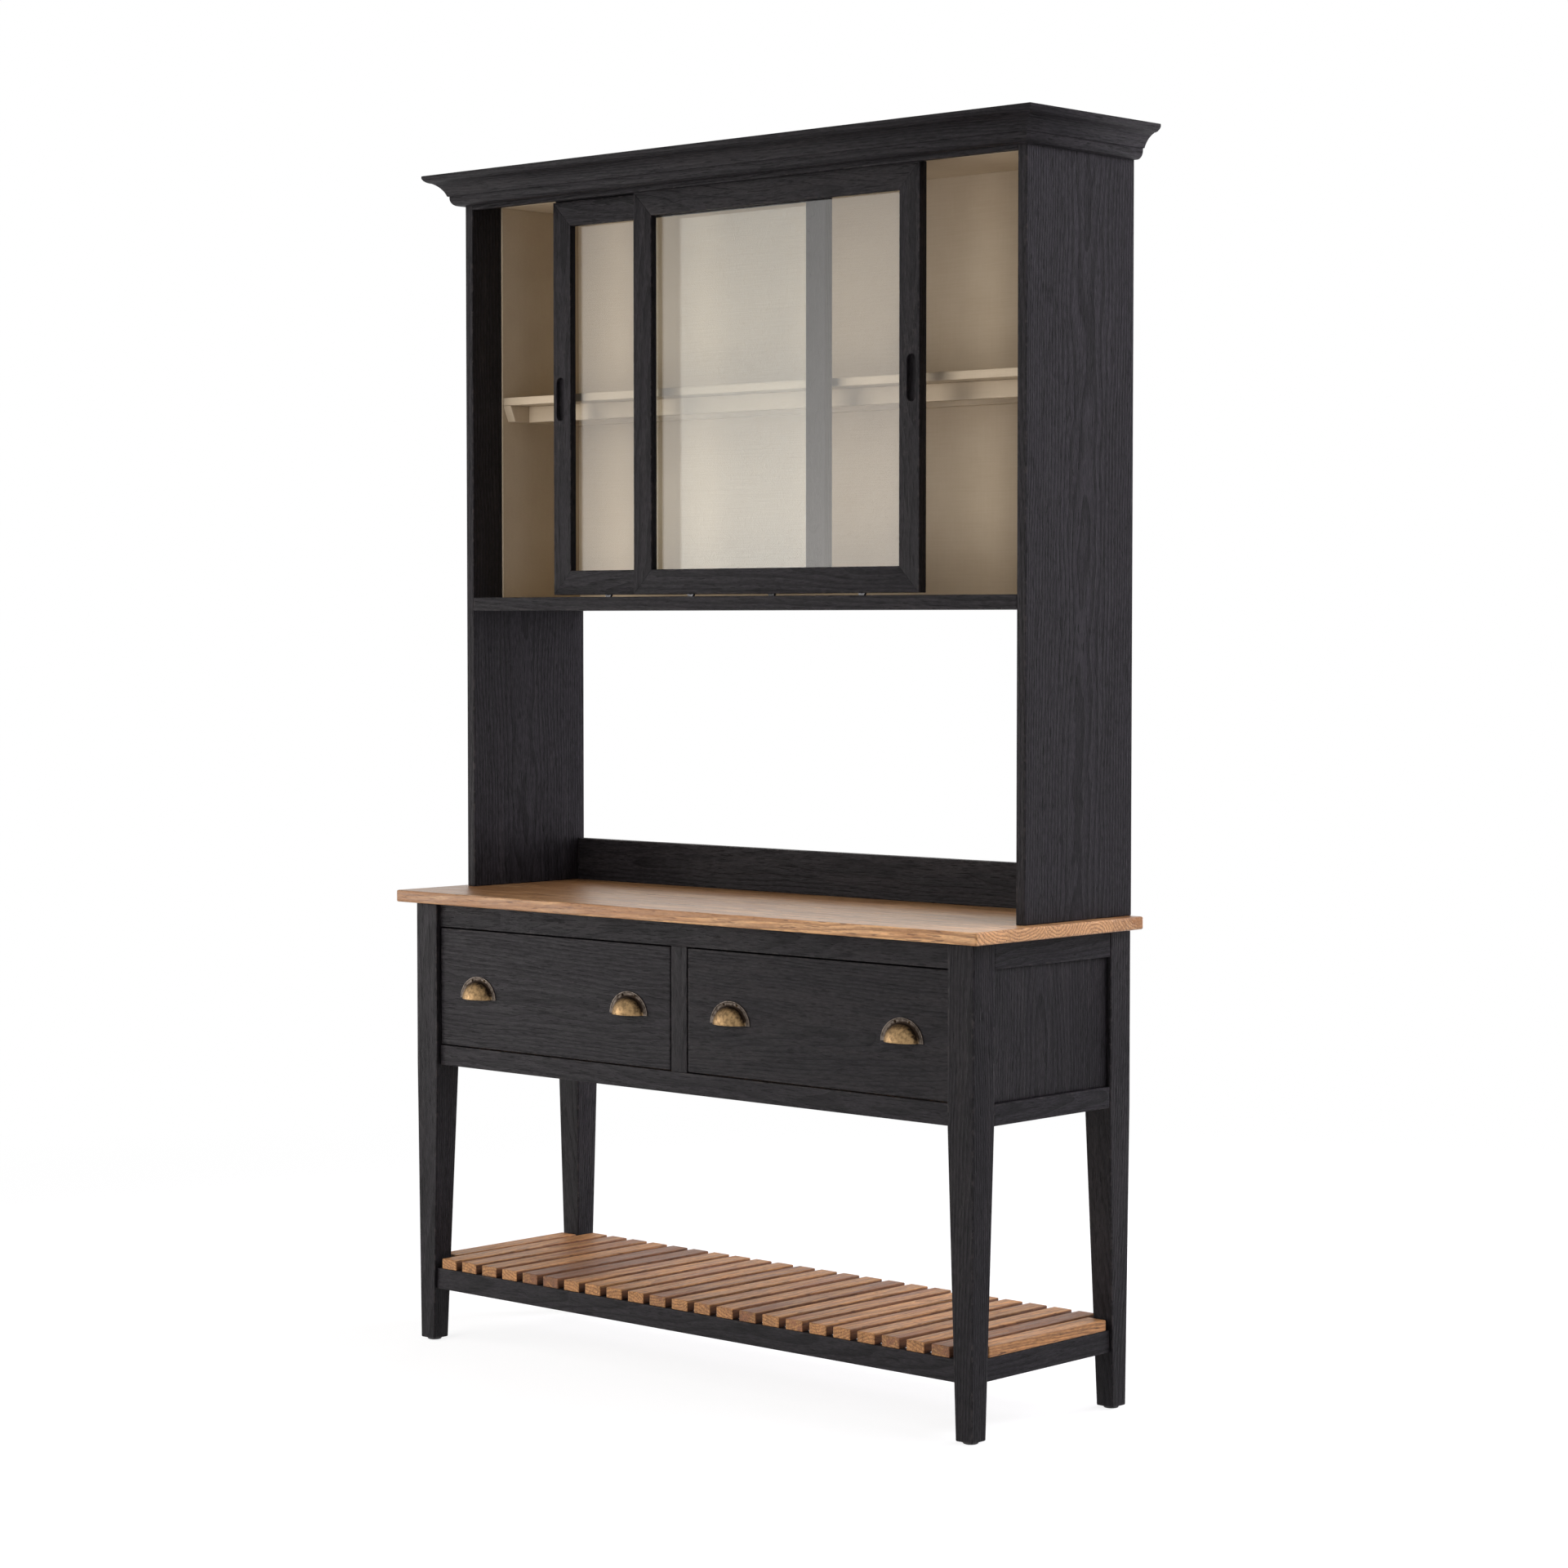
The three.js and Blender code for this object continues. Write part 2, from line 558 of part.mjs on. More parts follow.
function slattedShelf() {
  const group = new THREE.Group();
  const ends = [-LEG_OUTER_X, LEG_OUTER_X];
  const sides = [LEG_FRONT_Y, BACK_Y];
  const slatOuter = LEG_OUTER_X - END_SLAT_INSET;
  const endRail = [slatOuter - RAIL_THICKNESS, slatOuter];
  const backRail = [SHELF_BACK_Y - RAIL_THICKNESS, SHELF_BACK_Y];
  group.add(
    shelfRail("shelf_rail_front", ends, [RAIL_FRONT_Y, RAIL_BACK_Y], true),
    shelfRail("shelf_rail_back", ends, backRail, true),
    shelfRail("shelf_rail_left", sides, [-endRail[1], -endRail[0]], false),
    shelfRail("shelf_rail_right", sides, endRail, false),
  );
  const z = [SHELF_RAIL_TOP + JOINT_GAP, SHELF_RAIL_TOP + SLAT_THICKNESS];
  const legInner = legFaces(z[1])[1] + JOINT_GAP;
  const room = 2 * (LEG_OUTER_X - legInner);
  const pitch = SLAT_WIDTH + SLAT_SPACE;
  const count = Math.floor((room + SLAT_SPACE) / pitch);
  const first = -(count * pitch - SLAT_SPACE) / 2;
  const full = Array.from({ length: count }, (_, i) => {
    const left = first + i * pitch;
    return block([left, left + SLAT_WIDTH], [RAIL_FRONT_Y, SHELF_BACK_Y], z);
  });
  const short = [-1, 1].map((sign) =>
    block(
      ordered(sign * slatOuter, sign * (slatOuter - SLAT_WIDTH)),
      [LEG_FRONT_Y + legInner, BACK_Y - legInner],
      z,
    ),
  );
  const battenHalf = endRail[0] - JOINT_GAP;
  const battenZ = [SHELF_RAIL_TOP - BATTEN_THICKNESS, SHELF_RAIL_TOP + 2 * JOINT_GAP];
  const battens = [
    RAIL_FRONT_Y + BATTEN_INSET,
    SHELF_BACK_Y - BATTEN_INSET - BATTEN_WIDTH,
  ].map((front) => block([-battenHalf, battenHalf], [front, front + BATTEN_WIDTH], battenZ));
  group.add(piece("slat_shelf", SLAT_WOOD, geometryOf(join([...full, ...short, ...battens]))));
  return group;
}

// The hutch's own group: y from its front edge, z from the worktop.
function hutchCarcass() {
  const group = new THREE.Group();
  const depth = [0, HUTCH_DEPTH];
  const inner = HUTCH_INNER - JOINT_GAP;
  for (const [side, sign] of [["left", -1], ["right", 1]]) {
    const x = ordered(sign * HUTCH_HALF, sign * HUTCH_INNER);
    group.add(board(`hutch_side_${side}`, BLACK_WOOD, x, depth, [0, SIDE_TOP]));
  }
  group.add(
    board("splash_board", BLACK_WOOD, [-inner, inner], [HUTCH_DEPTH - SPLASH_THICKNESS, HUTCH_DEPTH], [
      0,
      SPLASH_HEIGHT,
    ]),
    board("hutch_top", BLACK_WOOD, [-HUTCH_HALF, HUTCH_HALF], depth, [SIDE_TOP, HUTCH_TOP]),
    board(
      "cabinet_back",
      CREAM_PAINT,
      [-inner, inner],
      [CABINET_BACK_FRONT, CABINET_BACK_FRONT + CABINET_BACK_THICKNESS],
      [CABINET_FLOOR_TOP + JOINT_GAP, CEILING_UNDERSIDE - JOINT_GAP],
    ),
  );
  const floor = cut(block([-inner, inner], depth, [BAY_HEIGHT, CABINET_FLOOR_TOP]), [
    block(
      [-inner - CUT_OVERRUN, inner + CUT_OVERRUN],
      [TRACK_FRONT - JOINT_GAP, TRACK_BACK + JOINT_GAP],
      [CABINET_FLOOR_TOP - TRACK_THICKNESS - JOINT_GAP, CABINET_FLOOR_TOP + CUT_OVERRUN],
    ),
  ]);
  group.add(piece("cabinet_floor", BLACK_WOOD, geometryOf(floor)));
  const grooves = DOOR_CENTRES.map((y) =>
    block(
      [-inner - CUT_OVERRUN, inner + CUT_OVERRUN],
      [y - TONGUE_THICKNESS / 2 - TONGUE_SIDE_GAP, y + TONGUE_THICKNESS / 2 + TONGUE_SIDE_GAP],
      [CEILING_UNDERSIDE - CUT_OVERRUN, CEILING_UNDERSIDE + TONGUE_REACH + TONGUE_TOP_GAP],
    ),
  );
  const slab = join([
    block([-inner, inner], depth, [CEILING_UNDERSIDE, CEILING_UNDERSIDE + CEILING_THICKNESS]),
    block([-inner, inner], [0, FRONT_DOOR_SETBACK - HEAD_LIP_DOOR_GAP], [
      CEILING_UNDERSIDE - HEAD_LIP_DROP,
      CEILING_UNDERSIDE + CEILING_THICKNESS,
    ]),
  ]);
  group.add(piece("cabinet_ceiling", BLACK_WOOD, geometryOf(cut(slab, grooves))));
  return group;
}

function bottomTrack() {
  const z = [CABINET_FLOOR_TOP - TRACK_THICKNESS, CABINET_FLOOR_TOP];
  const half = HUTCH_INNER - JOINT_GAP;
  const width = ROLLER_WIDTH + 2 * ROLLER_SIDE_GAP;
  const grooves = DOOR_CENTRES.map((y) =>
    block([-half - CUT_OVERRUN, half + CUT_OVERRUN], [y - width / 2, y + width / 2], [
      CABINET_FLOOR_TOP - TRACK_GROOVE_DEPTH,
      CABINET_FLOOR_TOP + CUT_OVERRUN,
    ]),
  );
  const strip = cut(block([-half, half], [TRACK_FRONT, TRACK_BACK], z), grooves);
  return piece("bottom_track", ALUMINIUM, geometryOf(strip));
}

function cabinetInside() {
  const group = new THREE.Group();
  const back = CABINET_BACK_FRONT - JOINT_GAP;
  const z = [CABINET_FLOOR_TOP + JOINT_GAP, CEILING_UNDERSIDE - JOINT_GAP];
  for (const [side, sign] of [["left", -1], ["right", 1]]) {
    const x = ordered(sign * (HUTCH_INNER - JOINT_GAP), sign * LINING_INNER);
    group.add(board(`cabinet_lining_${side}`, CREAM_PAINT, x, [LINING_SETBACK, back], z));
  }
  const shelfHalf = LINING_INNER - JOINT_GAP;
  const shelfZ = [INNER_SHELF_TOP - INNER_SHELF_THICKNESS, INNER_SHELF_TOP];
  group.add(
    board("inner_shelf", CREAM_PAINT, [-shelfHalf, shelfHalf], [LINING_SETBACK, back], shelfZ),
  );
  const top = shelfZ[0] - JOINT_GAP;
  const cleatZ = [top - CLEAT_HEIGHT, top];
  const cleatInner = shelfHalf - CLEAT_WIDTH;
  const cleats = [-1, 1].map((sign) => {
    const x = ordered(sign * shelfHalf, sign * cleatInner);
    const places = [
      [cleatZ[0], LINING_SETBACK + CLEAT_CHAMFER],
      [cleatZ[1], LINING_SETBACK],
    ].map(([height, front]) => (point) => [
      between(x, point.x),
      between([front, back], point.y),
      height,
    ]);
    return solid(loft(UNIT_SQUARE, places));
  });
  const crossFront = LINING_SETBACK + CROSS_RAIL_SETBACK;
  const support = join([
    ...cleats,
    block([-shelfHalf, shelfHalf], [crossFront, crossFront + CROSS_RAIL_THICKNESS], cleatZ),
    block([-shelfHalf, shelfHalf], [back - CLEAT_WIDTH, back], cleatZ),
  ]);
  group.add(piece("shelf_support", CREAM_PAINT, geometryOf(support)));
  return group;
}

// The cornice's profile: x is how far it stands out from the carcass, y the height above its foot.
function corniceOutline() {
  const top = CORNICE_HEIGHT;
  const lip = CORNICE_PROJECTION;
  const at = (name) => {
    const [out, up] = CORNICE_PROFILE_SHARES[name];
    return new THREE.Vector2(lip * out, top * up);
  };
  const ovolo = arcPoints(
    at("filletFoot"),
    at("ovoloFoot"),
    top * OVOLO_SAG_SHARE,
    MOULDING_ARC_STEPS,
  );
  const cove = arcPoints(
    at("ovoloFoot"),
    at("coveFoot"),
    -top * COVE_SAG_SHARE,
    MOULDING_ARC_STEPS,
  );
  const beadTop = at("beadTop");
  const beadFoot = at("beadFoot");
  const bead = Array.from({ length: MOULDING_ARC_STEPS + 1 }, (_, i) => {
    const angle = (Math.PI / 2) * (i / MOULDING_ARC_STEPS);
    return new THREE.Vector2(
      beadFoot.x + (beadTop.x - beadFoot.x) * Math.cos(angle),
      beadTop.y - (beadTop.y - beadFoot.y) * Math.sin(angle),
    );
  });
  return [
    new THREE.Vector2(0, top),
    new THREE.Vector2(lip, top),
    ...ovolo,
    ...cove.slice(1),
    new THREE.Vector2(beadTop.x, at("coveFoot").y),
    ...bead,
    new THREE.Vector2(0, 0),
  ];
}

// Three mitred mouldings. The front one has a flat packer behind it that clears the carcass.
function cornice() {
  const group = new THREE.Group();
  const foot = HUTCH_TOP - CORNICE_HEIGHT;
  const sideFace = HUTCH_HALF + JOINT_GAP;
  const frontFace = -FRIEZE_THICKNESS;
  const outline = corniceOutline();
  const frontPlaces = [-1, 1].map((sign) => (point) => [
    sign * (sideFace + point.x),
    frontFace - point.x,
    foot + point.y,
  ]);
  const packer = block(
    [-sideFace, sideFace],
    [frontFace - outline[outline.length - 2].x / 2, -JOINT_GAP],
    [foot, HUTCH_TOP],
  );
  const front = solid(loft(outline, frontPlaces)).add(packer);
  group.add(piece("cornice_front", BLACK_WOOD, geometryOf(front)));
  for (const [side, sign] of [["left", -1], ["right", 1]]) {
    const places = [
      (point) => frontFace - point.x + JOINT_GAP,
      () => HUTCH_DEPTH,
    ].map((reach) => (point) => [sign * (sideFace + point.x), reach(point), foot + point.y]);
    group.add(piece(`cornice_${side}`, BLACK_WOOD, loft(outline, places)));
  }
  return group;
}

function slotTool(centreX) {
  const radius = FINGER_SLOT_WIDTH / 2;
  const rise = (FINGER_SLOT_LENGTH - FINGER_SLOT_WIDTH) / 2;
  const outline = new THREE.Shape();
  outline.absarc(centreX, DOOR_HEIGHT / 2 + rise, radius, 0, Math.PI);
  outline.absarc(centreX, DOOR_HEIGHT / 2 - rise, radius, Math.PI, 2 * Math.PI);
  const tool = new THREE.ExtrudeGeometry(outline, {
    depth: FINGER_SLOT_DEPTH + CUT_OVERRUN,
    bevelEnabled: false,
    curveSegments: SLOT_ARC_STEPS,
  });
  return solid(tool.rotateX(Math.PI / 2).translate(0, FINGER_SLOT_DEPTH, 0));
}

// The room for one roller in a door's bottom rail, with the two blind holes for its axle.
function rollerTools(centreX, rollerZ) {
  const y = DOOR_THICKNESS / 2;
  const halfWidth = ROLLER_WIDTH / 2 + ROLLER_SIDE_GAP;
  const halfLength = ROLLER_RADIUS + ROLLER_TOP_GAP;
  const holeRadius = AXLE_RADIUS + AXLE_CLEARANCE;
  const holeLength = ROLLER_WIDTH + 2 * (AXLE_REACH + JOINT_GAP);
  const hole = new THREE.CylinderGeometry(holeRadius, holeRadius, holeLength, ROLLER_SIDES);
  return [
    block(
      [centreX - halfLength, centreX + halfLength],
      [y - halfWidth, y + halfWidth],
      [-CUT_OVERRUN, rollerZ + halfLength],
    ),
    solid(hole.translate(centreX, y, rollerZ)),
  ];
}

function rollerGeometry() {
  const half = ROLLER_WIDTH / 2;
  const rim = ROLLER_RADIUS - ROLLER_CHAMFER;
  const profile = [
    [0, -half - AXLE_REACH],
    [AXLE_RADIUS, -half - AXLE_REACH],
    [AXLE_RADIUS, -half],
    [rim, -half],
    [ROLLER_RADIUS, ROLLER_CHAMFER - half],
    [ROLLER_RADIUS, half - ROLLER_CHAMFER],
    [rim, half],
    [AXLE_RADIUS, half],
    [AXLE_RADIUS, half + AXLE_REACH],
    [0, half + AXLE_REACH],
  ].map(([radius, y]) => new THREE.Vector2(radius, y));
  return new THREE.LatheGeometry(profile, ROLLER_SIDES);
}

// A door in its own group: x from its left edge, y from its front face, z from its bottom edge.
function door(side, left, row, slotX) {
  const group = new THREE.Group();
  group.position.set(
    left,
    FRONT_DOOR_SETBACK + row * DOOR_PITCH,
    CABINET_FLOOR_TOP + DOOR_FLOOR_GAP,
  );
  const rollerZ = JOINT_GAP + ROLLER_RADIUS - TRACK_GROOVE_DEPTH - DOOR_FLOOR_GAP;
  const rollerPlaces = [ROLLER_INSET, DOOR_WIDTH - ROLLER_INSET];
  const open = [DOOR_MEMBER_WIDTH, DOOR_WIDTH - DOOR_MEMBER_WIDTH];
  const openZ = [DOOR_MEMBER_WIDTH, DOOR_HEIGHT - DOOR_MEMBER_WIDTH];
  const rebate = [open[0] - GLASS_REBATE, open[1] + GLASS_REBATE];
  const rebateZ = [openZ[0] - GLASS_REBATE, openZ[1] + GLASS_REBATE];
  const middle = DOOR_THICKNESS / 2;
  const tongue = block(
    [0, DOOR_WIDTH],
    [middle - TONGUE_THICKNESS / 2, middle + TONGUE_THICKNESS / 2],
    [DOOR_HEIGHT - CUT_OVERRUN, DOOR_HEIGHT + TONGUE_HEIGHT],
  );
  const slab = block([0, DOOR_WIDTH], [0, DOOR_THICKNESS], [0, DOOR_HEIGHT]).add(tongue);
  const frame = cut(slab, [
    block(open, [-CUT_OVERRUN, DOOR_THICKNESS + CUT_OVERRUN], openZ),
    block(rebate, [GLASS_SETBACK - JOINT_GAP, DOOR_THICKNESS + CUT_OVERRUN], rebateZ),
    slotTool(slotX),
    ...rollerPlaces.flatMap((x) => rollerTools(x, rollerZ)),
  ]);
  const pane = (range) => [range[0] + JOINT_GAP, range[1] - JOINT_GAP];
  group.add(
    piece(`door_frame_${side}`, BLACK_WOOD, geometryOf(frame)),
    board(
      `door_glass_${side}`,
      GLASS,
      pane(rebate),
      [GLASS_SETBACK, GLASS_SETBACK + GLASS_THICKNESS],
      pane(rebateZ),
    ),
  );
  for (const [i, x] of rollerPlaces.entries()) {
    const end = ["left", "right"][i];
    const roller = piece(`door_${side}_roller_${end}`, STEEL, rollerGeometry());
    roller.position.set(x, middle, rollerZ);
    group.add(roller);
  }
  return group;
}

const dresser = new THREE.Group();
const pull = pullGeometry();
dresser.add(legs(), worktop(), frontFrame(), endFrames(), baseBack(), drawerRunners());
dresser.add(drawer("left", -1, pull), drawer("right", 1, pull), slattedShelf());

const hutch = new THREE.Group();
hutch.position.set(0, HUTCH_FRONT_Y, WORKTOP_HEIGHT);
hutch.add(hutchCarcass(), bottomTrack(), cabinetInside(), cornice());
hutch.add(
  door("left", LEFT_DOOR_OPENED - HUTCH_INNER, 1, FINGER_SLOT_INSET),
  door("right", HUTCH_INNER - RIGHT_DOOR_OPENED - DOOR_WIDTH, 0, DOOR_WIDTH - FINGER_SLOT_INSET),
);
dresser.add(hutch);

export default dresser;
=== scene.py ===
"""Looks of a dresser with hutch: a base with two drawers and a slatted shelf, and a glazed cabinet.

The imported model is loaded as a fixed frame. Each class below stands for one sub-assembly: it holds
its sizes, works out its surfaces with numpy and dresses them in finishes made of shader nodes.
Lengths are in metres, X runs to the right, Y to the back and Z up.
"""

import logging
import math
import zlib
from dataclasses import dataclass, field
from enum import Enum
from typing import Callable, Optional, Sequence

import bpy
import numpy as np
from bpy.types import Material, Mesh, Node, NodeSocket, NodeTree, Object
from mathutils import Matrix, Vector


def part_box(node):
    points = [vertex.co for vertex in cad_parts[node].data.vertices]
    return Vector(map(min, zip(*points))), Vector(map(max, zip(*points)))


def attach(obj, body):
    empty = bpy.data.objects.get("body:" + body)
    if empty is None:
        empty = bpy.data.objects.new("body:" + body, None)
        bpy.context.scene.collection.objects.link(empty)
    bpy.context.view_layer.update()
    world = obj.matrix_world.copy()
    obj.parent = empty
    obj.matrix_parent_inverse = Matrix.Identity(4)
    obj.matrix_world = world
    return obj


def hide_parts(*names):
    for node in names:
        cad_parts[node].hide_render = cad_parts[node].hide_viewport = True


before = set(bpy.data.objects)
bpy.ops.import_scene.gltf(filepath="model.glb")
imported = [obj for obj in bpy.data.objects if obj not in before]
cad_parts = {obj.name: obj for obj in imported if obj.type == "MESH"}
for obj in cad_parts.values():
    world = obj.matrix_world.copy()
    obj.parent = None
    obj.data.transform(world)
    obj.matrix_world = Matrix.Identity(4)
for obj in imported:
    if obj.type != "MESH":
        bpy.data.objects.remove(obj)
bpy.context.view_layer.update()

LOG = logging.getLogger("dresser")
Array = np.ndarray
Colour = tuple[float, float, float]

# A line of points this far beyond an eased arris keeps the shading of the flat face flat.
HOLD = 0.003
# A rounding takes up no more than the first share of a side; its holding line adds the second at most.
ROUNDING_SHARE = 0.25
HOLD_SHARE = 0.15
# The rings at a member's ends lie no further in than this share of its width or length.
END_SHARE = 0.3
# How far inside an end's rounding the ring of its cap lies.
CAP_HOLD = 0.6 * HOLD
# A convex rounding that is drawn in shrinks by this share at most.
SHRINK_SHARE = 0.9
# The space between faces that only touch, so that they never lie in one plane.
GAP = 0.0003
# Faces that meet at more than this angle keep a crisp edge between them.
CRISP_ANGLE = math.radians(50)
# Where a board may lie in its trunk: how far along, how far beside the pith, and how far off it.
TRUNK_REACH = 4
PITH_BESIDE = 0.03
PITH_DEPTH = (0.035, 0.09)
# How much the pith may lean per metre along a board: across it, and through it.
LEAN_ACROSS = 0.02
LEAN_THROUGH = 0.05


class Axis(Enum):
    """The direction in which a board runs, or in which it is thin."""

    X = 0
    Y = 1
    Z = 2


class Side(Enum):
    """The left or the right half of the dresser, as seen from the front."""

    LEFT = -1
    RIGHT = 1

    @property
    def word(self) -> str:
        """The side's name as the nodes spell it."""
        return self.name.lower()


class Slot(Enum):
    """The material slots of the record."""

    BLACK_WOOD = "black_wood"
    WORKTOP_WOOD = "worktop_wood"
    SLAT_WOOD = "slat_wood"
    CREAM_PAINT = "cream_paint"
    DRAWER_WOOD = "drawer_wood"
    ANTIQUE_BRASS = "antique_brass"
    DOOR_GLASS = "door_glass"
    TRACK_ALUMINIUM = "track_aluminium"
    ROLLER_STEEL = "roller_steel"
    GLIDE_PLASTIC = "glide_plastic"


@dataclass(frozen=True)
class Surface:
    """A closed mesh worked out as arrays.

    Attributes:
        points: one row per point.
        faces: lists of point numbers, seen anticlockwise from outside.
        edge: one number per point, 1 on an eased arris and 0 on a flat face.
    """

    points: Array
    faces: list[list[int]]
    edge: Array

    def joined(self, other: "Surface") -> "Surface":
        """Both surfaces as one."""
        shift = len(self.points)
        moved = [[number + shift for number in face] for face in other.faces]
        return Surface(
            np.concatenate([self.points, other.points]),
            self.faces + moved,
            np.concatenate([self.edge, other.edge]),
        )


@dataclass(frozen=True)
class Profile:
    """A closed outline in two parameters, anticlockwise.

    Attributes:
        points: the outline's points.
        outward: how far each point moves per unit that the outline grows.
        arris: 1 on the points of an eased corner and 0 elsewhere.
        centre: the middle of the rounding that a point is on, or the point itself.
        radius: the size of that rounding, or 0.
        turn: 1 where the corner is convex, -1 where it is hollow.
    """

    points: Array
    outward: Array
    arris: Array
    centre: Array
    radius: Array
    turn: Array

    @classmethod
    def plain(cls, points: Array, outward: Array) -> "Profile":
        """An outline without rounded corners."""
        still = np.zeros(len(points))
        return cls(points, outward, still, points, still, still + 1)

    def drawn_in(self, depths: Array) -> Array:
        """The outline once per depth.

        Formula: a convex rounding shrinks towards its centre until a tenth is left, and what is left of
        the depth moves it inwards; a hollow rounding grows; every other point moves straight inwards.

        Args:
            depths: how far the outline is drawn in.

        Returns:
            Points by depth and place round the outline.
        """
        depth = depths[:, None]
        shrink = np.minimum(self.turn * depth, SHRINK_SHARE * self.radius)
        scale = 1 - shrink / np.maximum(self.radius, 1e-9)
        beyond = depth - np.abs(shrink)
        round_part = (self.points - self.centre) * scale[..., None]
        return self.centre + round_part - self.outward * beyond[..., None]


@dataclass(frozen=True)
class Stations:
    """The places along a path at which a profile stands.

    Attributes:
        along: distance from the start of the path.
        inset: how far the profile is drawn in there.
        arris: 1 where the end's arris is rounded.
    """

    along: Array
    inset: Array
    arris: Array


def enclosed_volume(points: Array, triangles: Array) -> float:
    """The volume inside a closed surface: the sum of a . (b x c) over its triangles, over six."""
    first, second, third = (points[triangles[:, column]] for column in range(3))
    return float(np.einsum("ij,ij->", first, np.cross(second, third))) / 6


def ring_loft(rings: Array, edge: Optional[Array] = None) -> Surface:
    """Skins rings of points into one closed surface.

    Formula: rings k and k + 1 are joined by a strip of four-sided faces from point j to point j + 1
    round the ring, and the first and the last ring are each closed by one flat face. The faces are
    turned round where the volume that they enclose comes out negative.

    Args:
        rings: points by ring and place round the ring.
        edge: the wear mask by ring and place, or none where nothing is worn.

    Returns:
        The closed surface.
    """
    edge = np.zeros(rings.shape[:2]) if edge is None else edge
    count, around = rings.shape[:2]
    ring, step = np.meshgrid(np.arange(count - 1), np.arange(around), indexing="ij")
    here = ring * around + step
    beside = ring * around + (step + 1) % around
    quads = np.stack([here, beside, beside + around, here + around], axis=-1).reshape(-1, 4)
    first = np.arange(around)[::-1]
    last = np.arange(around) + (count - 1) * around
    fans = [
        np.stack([np.full(around - 2, cap[0]), cap[1:-1], cap[2:]], axis=1) for cap in (first, last)
    ]
    triangles = np.concatenate([quads[:, [0, 1, 2]], quads[:, [0, 2, 3]], *fans])
    points = rings.reshape(-1, 3)
    faces = quads.tolist() + [first.tolist(), last.tolist()]
    if enclosed_volume(points, triangles) < 0:
        faces = [face[::-1] for face in faces]
    return Surface(points, faces, edge.reshape(-1))


def eased_outline(corners: Sequence[Sequence[float]], easing: float | Sequence[float]) -> Profile:
    """An outline of right angles whose corners are rounded.

    Formula: each corner becomes the quadratic curve between the two points that lie the easing's
    distance before and after it, drawn by its start, middle and end. One more point on either side
    holds the flat face flat.

    Args:
        corners: the sharp corners, anticlockwise.
        easing: the distance at which the rounding starts, for all corners or for each.

    Returns:
        The profile.
    """
    sharp = np.array(corners, float)
    before = sharp - np.roll(sharp, 1, axis=0)
    after = np.roll(sharp, -1, axis=0) - sharp
    length_in = np.linalg.norm(before, axis=1, keepdims=True)
    length_out = np.linalg.norm(after, axis=1, keepdims=True)
    way_in = before / length_in
    way_out = after / length_out
    room = np.minimum(length_in, length_out)
    wanted = np.broadcast_to(np.array(easing, float).reshape(-1, 1), room.shape)
    reach = np.minimum(wanted, ROUNDING_SHARE * room)
    hold = reach + np.minimum(HOLD, HOLD_SHARE * room)
    start = sharp - way_in * reach
    end = sharp + way_out * reach
    middle = (start + 2 * sharp + end) / 4
    out_before = np.stack([way_in[:, 1], -way_in[:, 0]], axis=1)
    out_after = np.stack([way_out[:, 1], -way_out[:, 0]], axis=1)
    diagonal = out_before + out_after
    turn = np.sign(way_in[:, :1] * way_out[:, 1:] - way_in[:, 1:] * way_out[:, :1])
    core = start - turn * out_before * reach
    before, beside = sharp - way_in * hold, sharp + way_out * hold
    points = np.stack([before, start, middle, end, beside], axis=1)
    outward = np.stack([out_before, diagonal, diagonal, diagonal, out_after], axis=1)
    centre = np.stack([before, core, core, core, beside], axis=1)
    on_arris = np.array([0.0, 1.0, 1.0, 1.0, 0.0])
    return Profile(
        points.reshape(-1, 2),
        outward.reshape(-1, 2),
        np.tile(on_arris, len(sharp)),
        centre.reshape(-1, 2),
        (reach * on_arris).ravel(),
        np.where(on_arris > 0, turn, 1.0).ravel(),
    )


def rectangle_corners(width: float, height: float) -> Array:
    """The four corners of a rectangle about its middle, anticlockwise."""
    return np.array([(-1, -1), (1, -1), (1, 1), (-1, 1)]) * (width / 2, height / 2)


def eased_stations(length: float, easing: float, room: float, extra: Sequence[float] = ()) -> Stations:
    """Places along a straight member whose two ends are rounded.

    Formula: the profile starts drawn in by the easing, grows along a quarter circle of that radius
    and runs on at full size; the other end mirrors this. The cap's own ring lies further in.

    Args:
        length: the member's length.
        easing: the radius of the rounding.
        room: the member's smaller width, which limits how far the cap's ring lies in.
        extra: further places along the member.

    Returns:
        The stations.
    """
    rise = easing * (1 - math.sqrt(0.5))
    deep = min(easing + CAP_HOLD, END_SHARE * room)
    hold = min(easing + HOLD, END_SHARE * length)
    start = np.array([0, 0, rise, easing, hold])
    inset = np.array([deep, easing, rise, 0, 0])
    arris = np.array([0.0, 1.0, 1.0, 1.0, 0.0])
    middle = np.array(sorted(extra), float)
    flat = np.zeros(len(middle))
    return Stations(
        np.concatenate([start, middle, length - start[::-1]]),
        np.concatenate([inset, flat, inset[::-1]]),
        np.concatenate([arris, flat, arris[::-1]]),
    )


def wear_grid(stations: Stations, profile: Profile) -> Array:
    """The wear mask over a member: 1 where its station or its profile is on an arris, 0 on the caps."""
    grid = np.maximum(stations.arris[:, None], profile.arris[None])
    grid[[0, -1]] = 0
    return grid


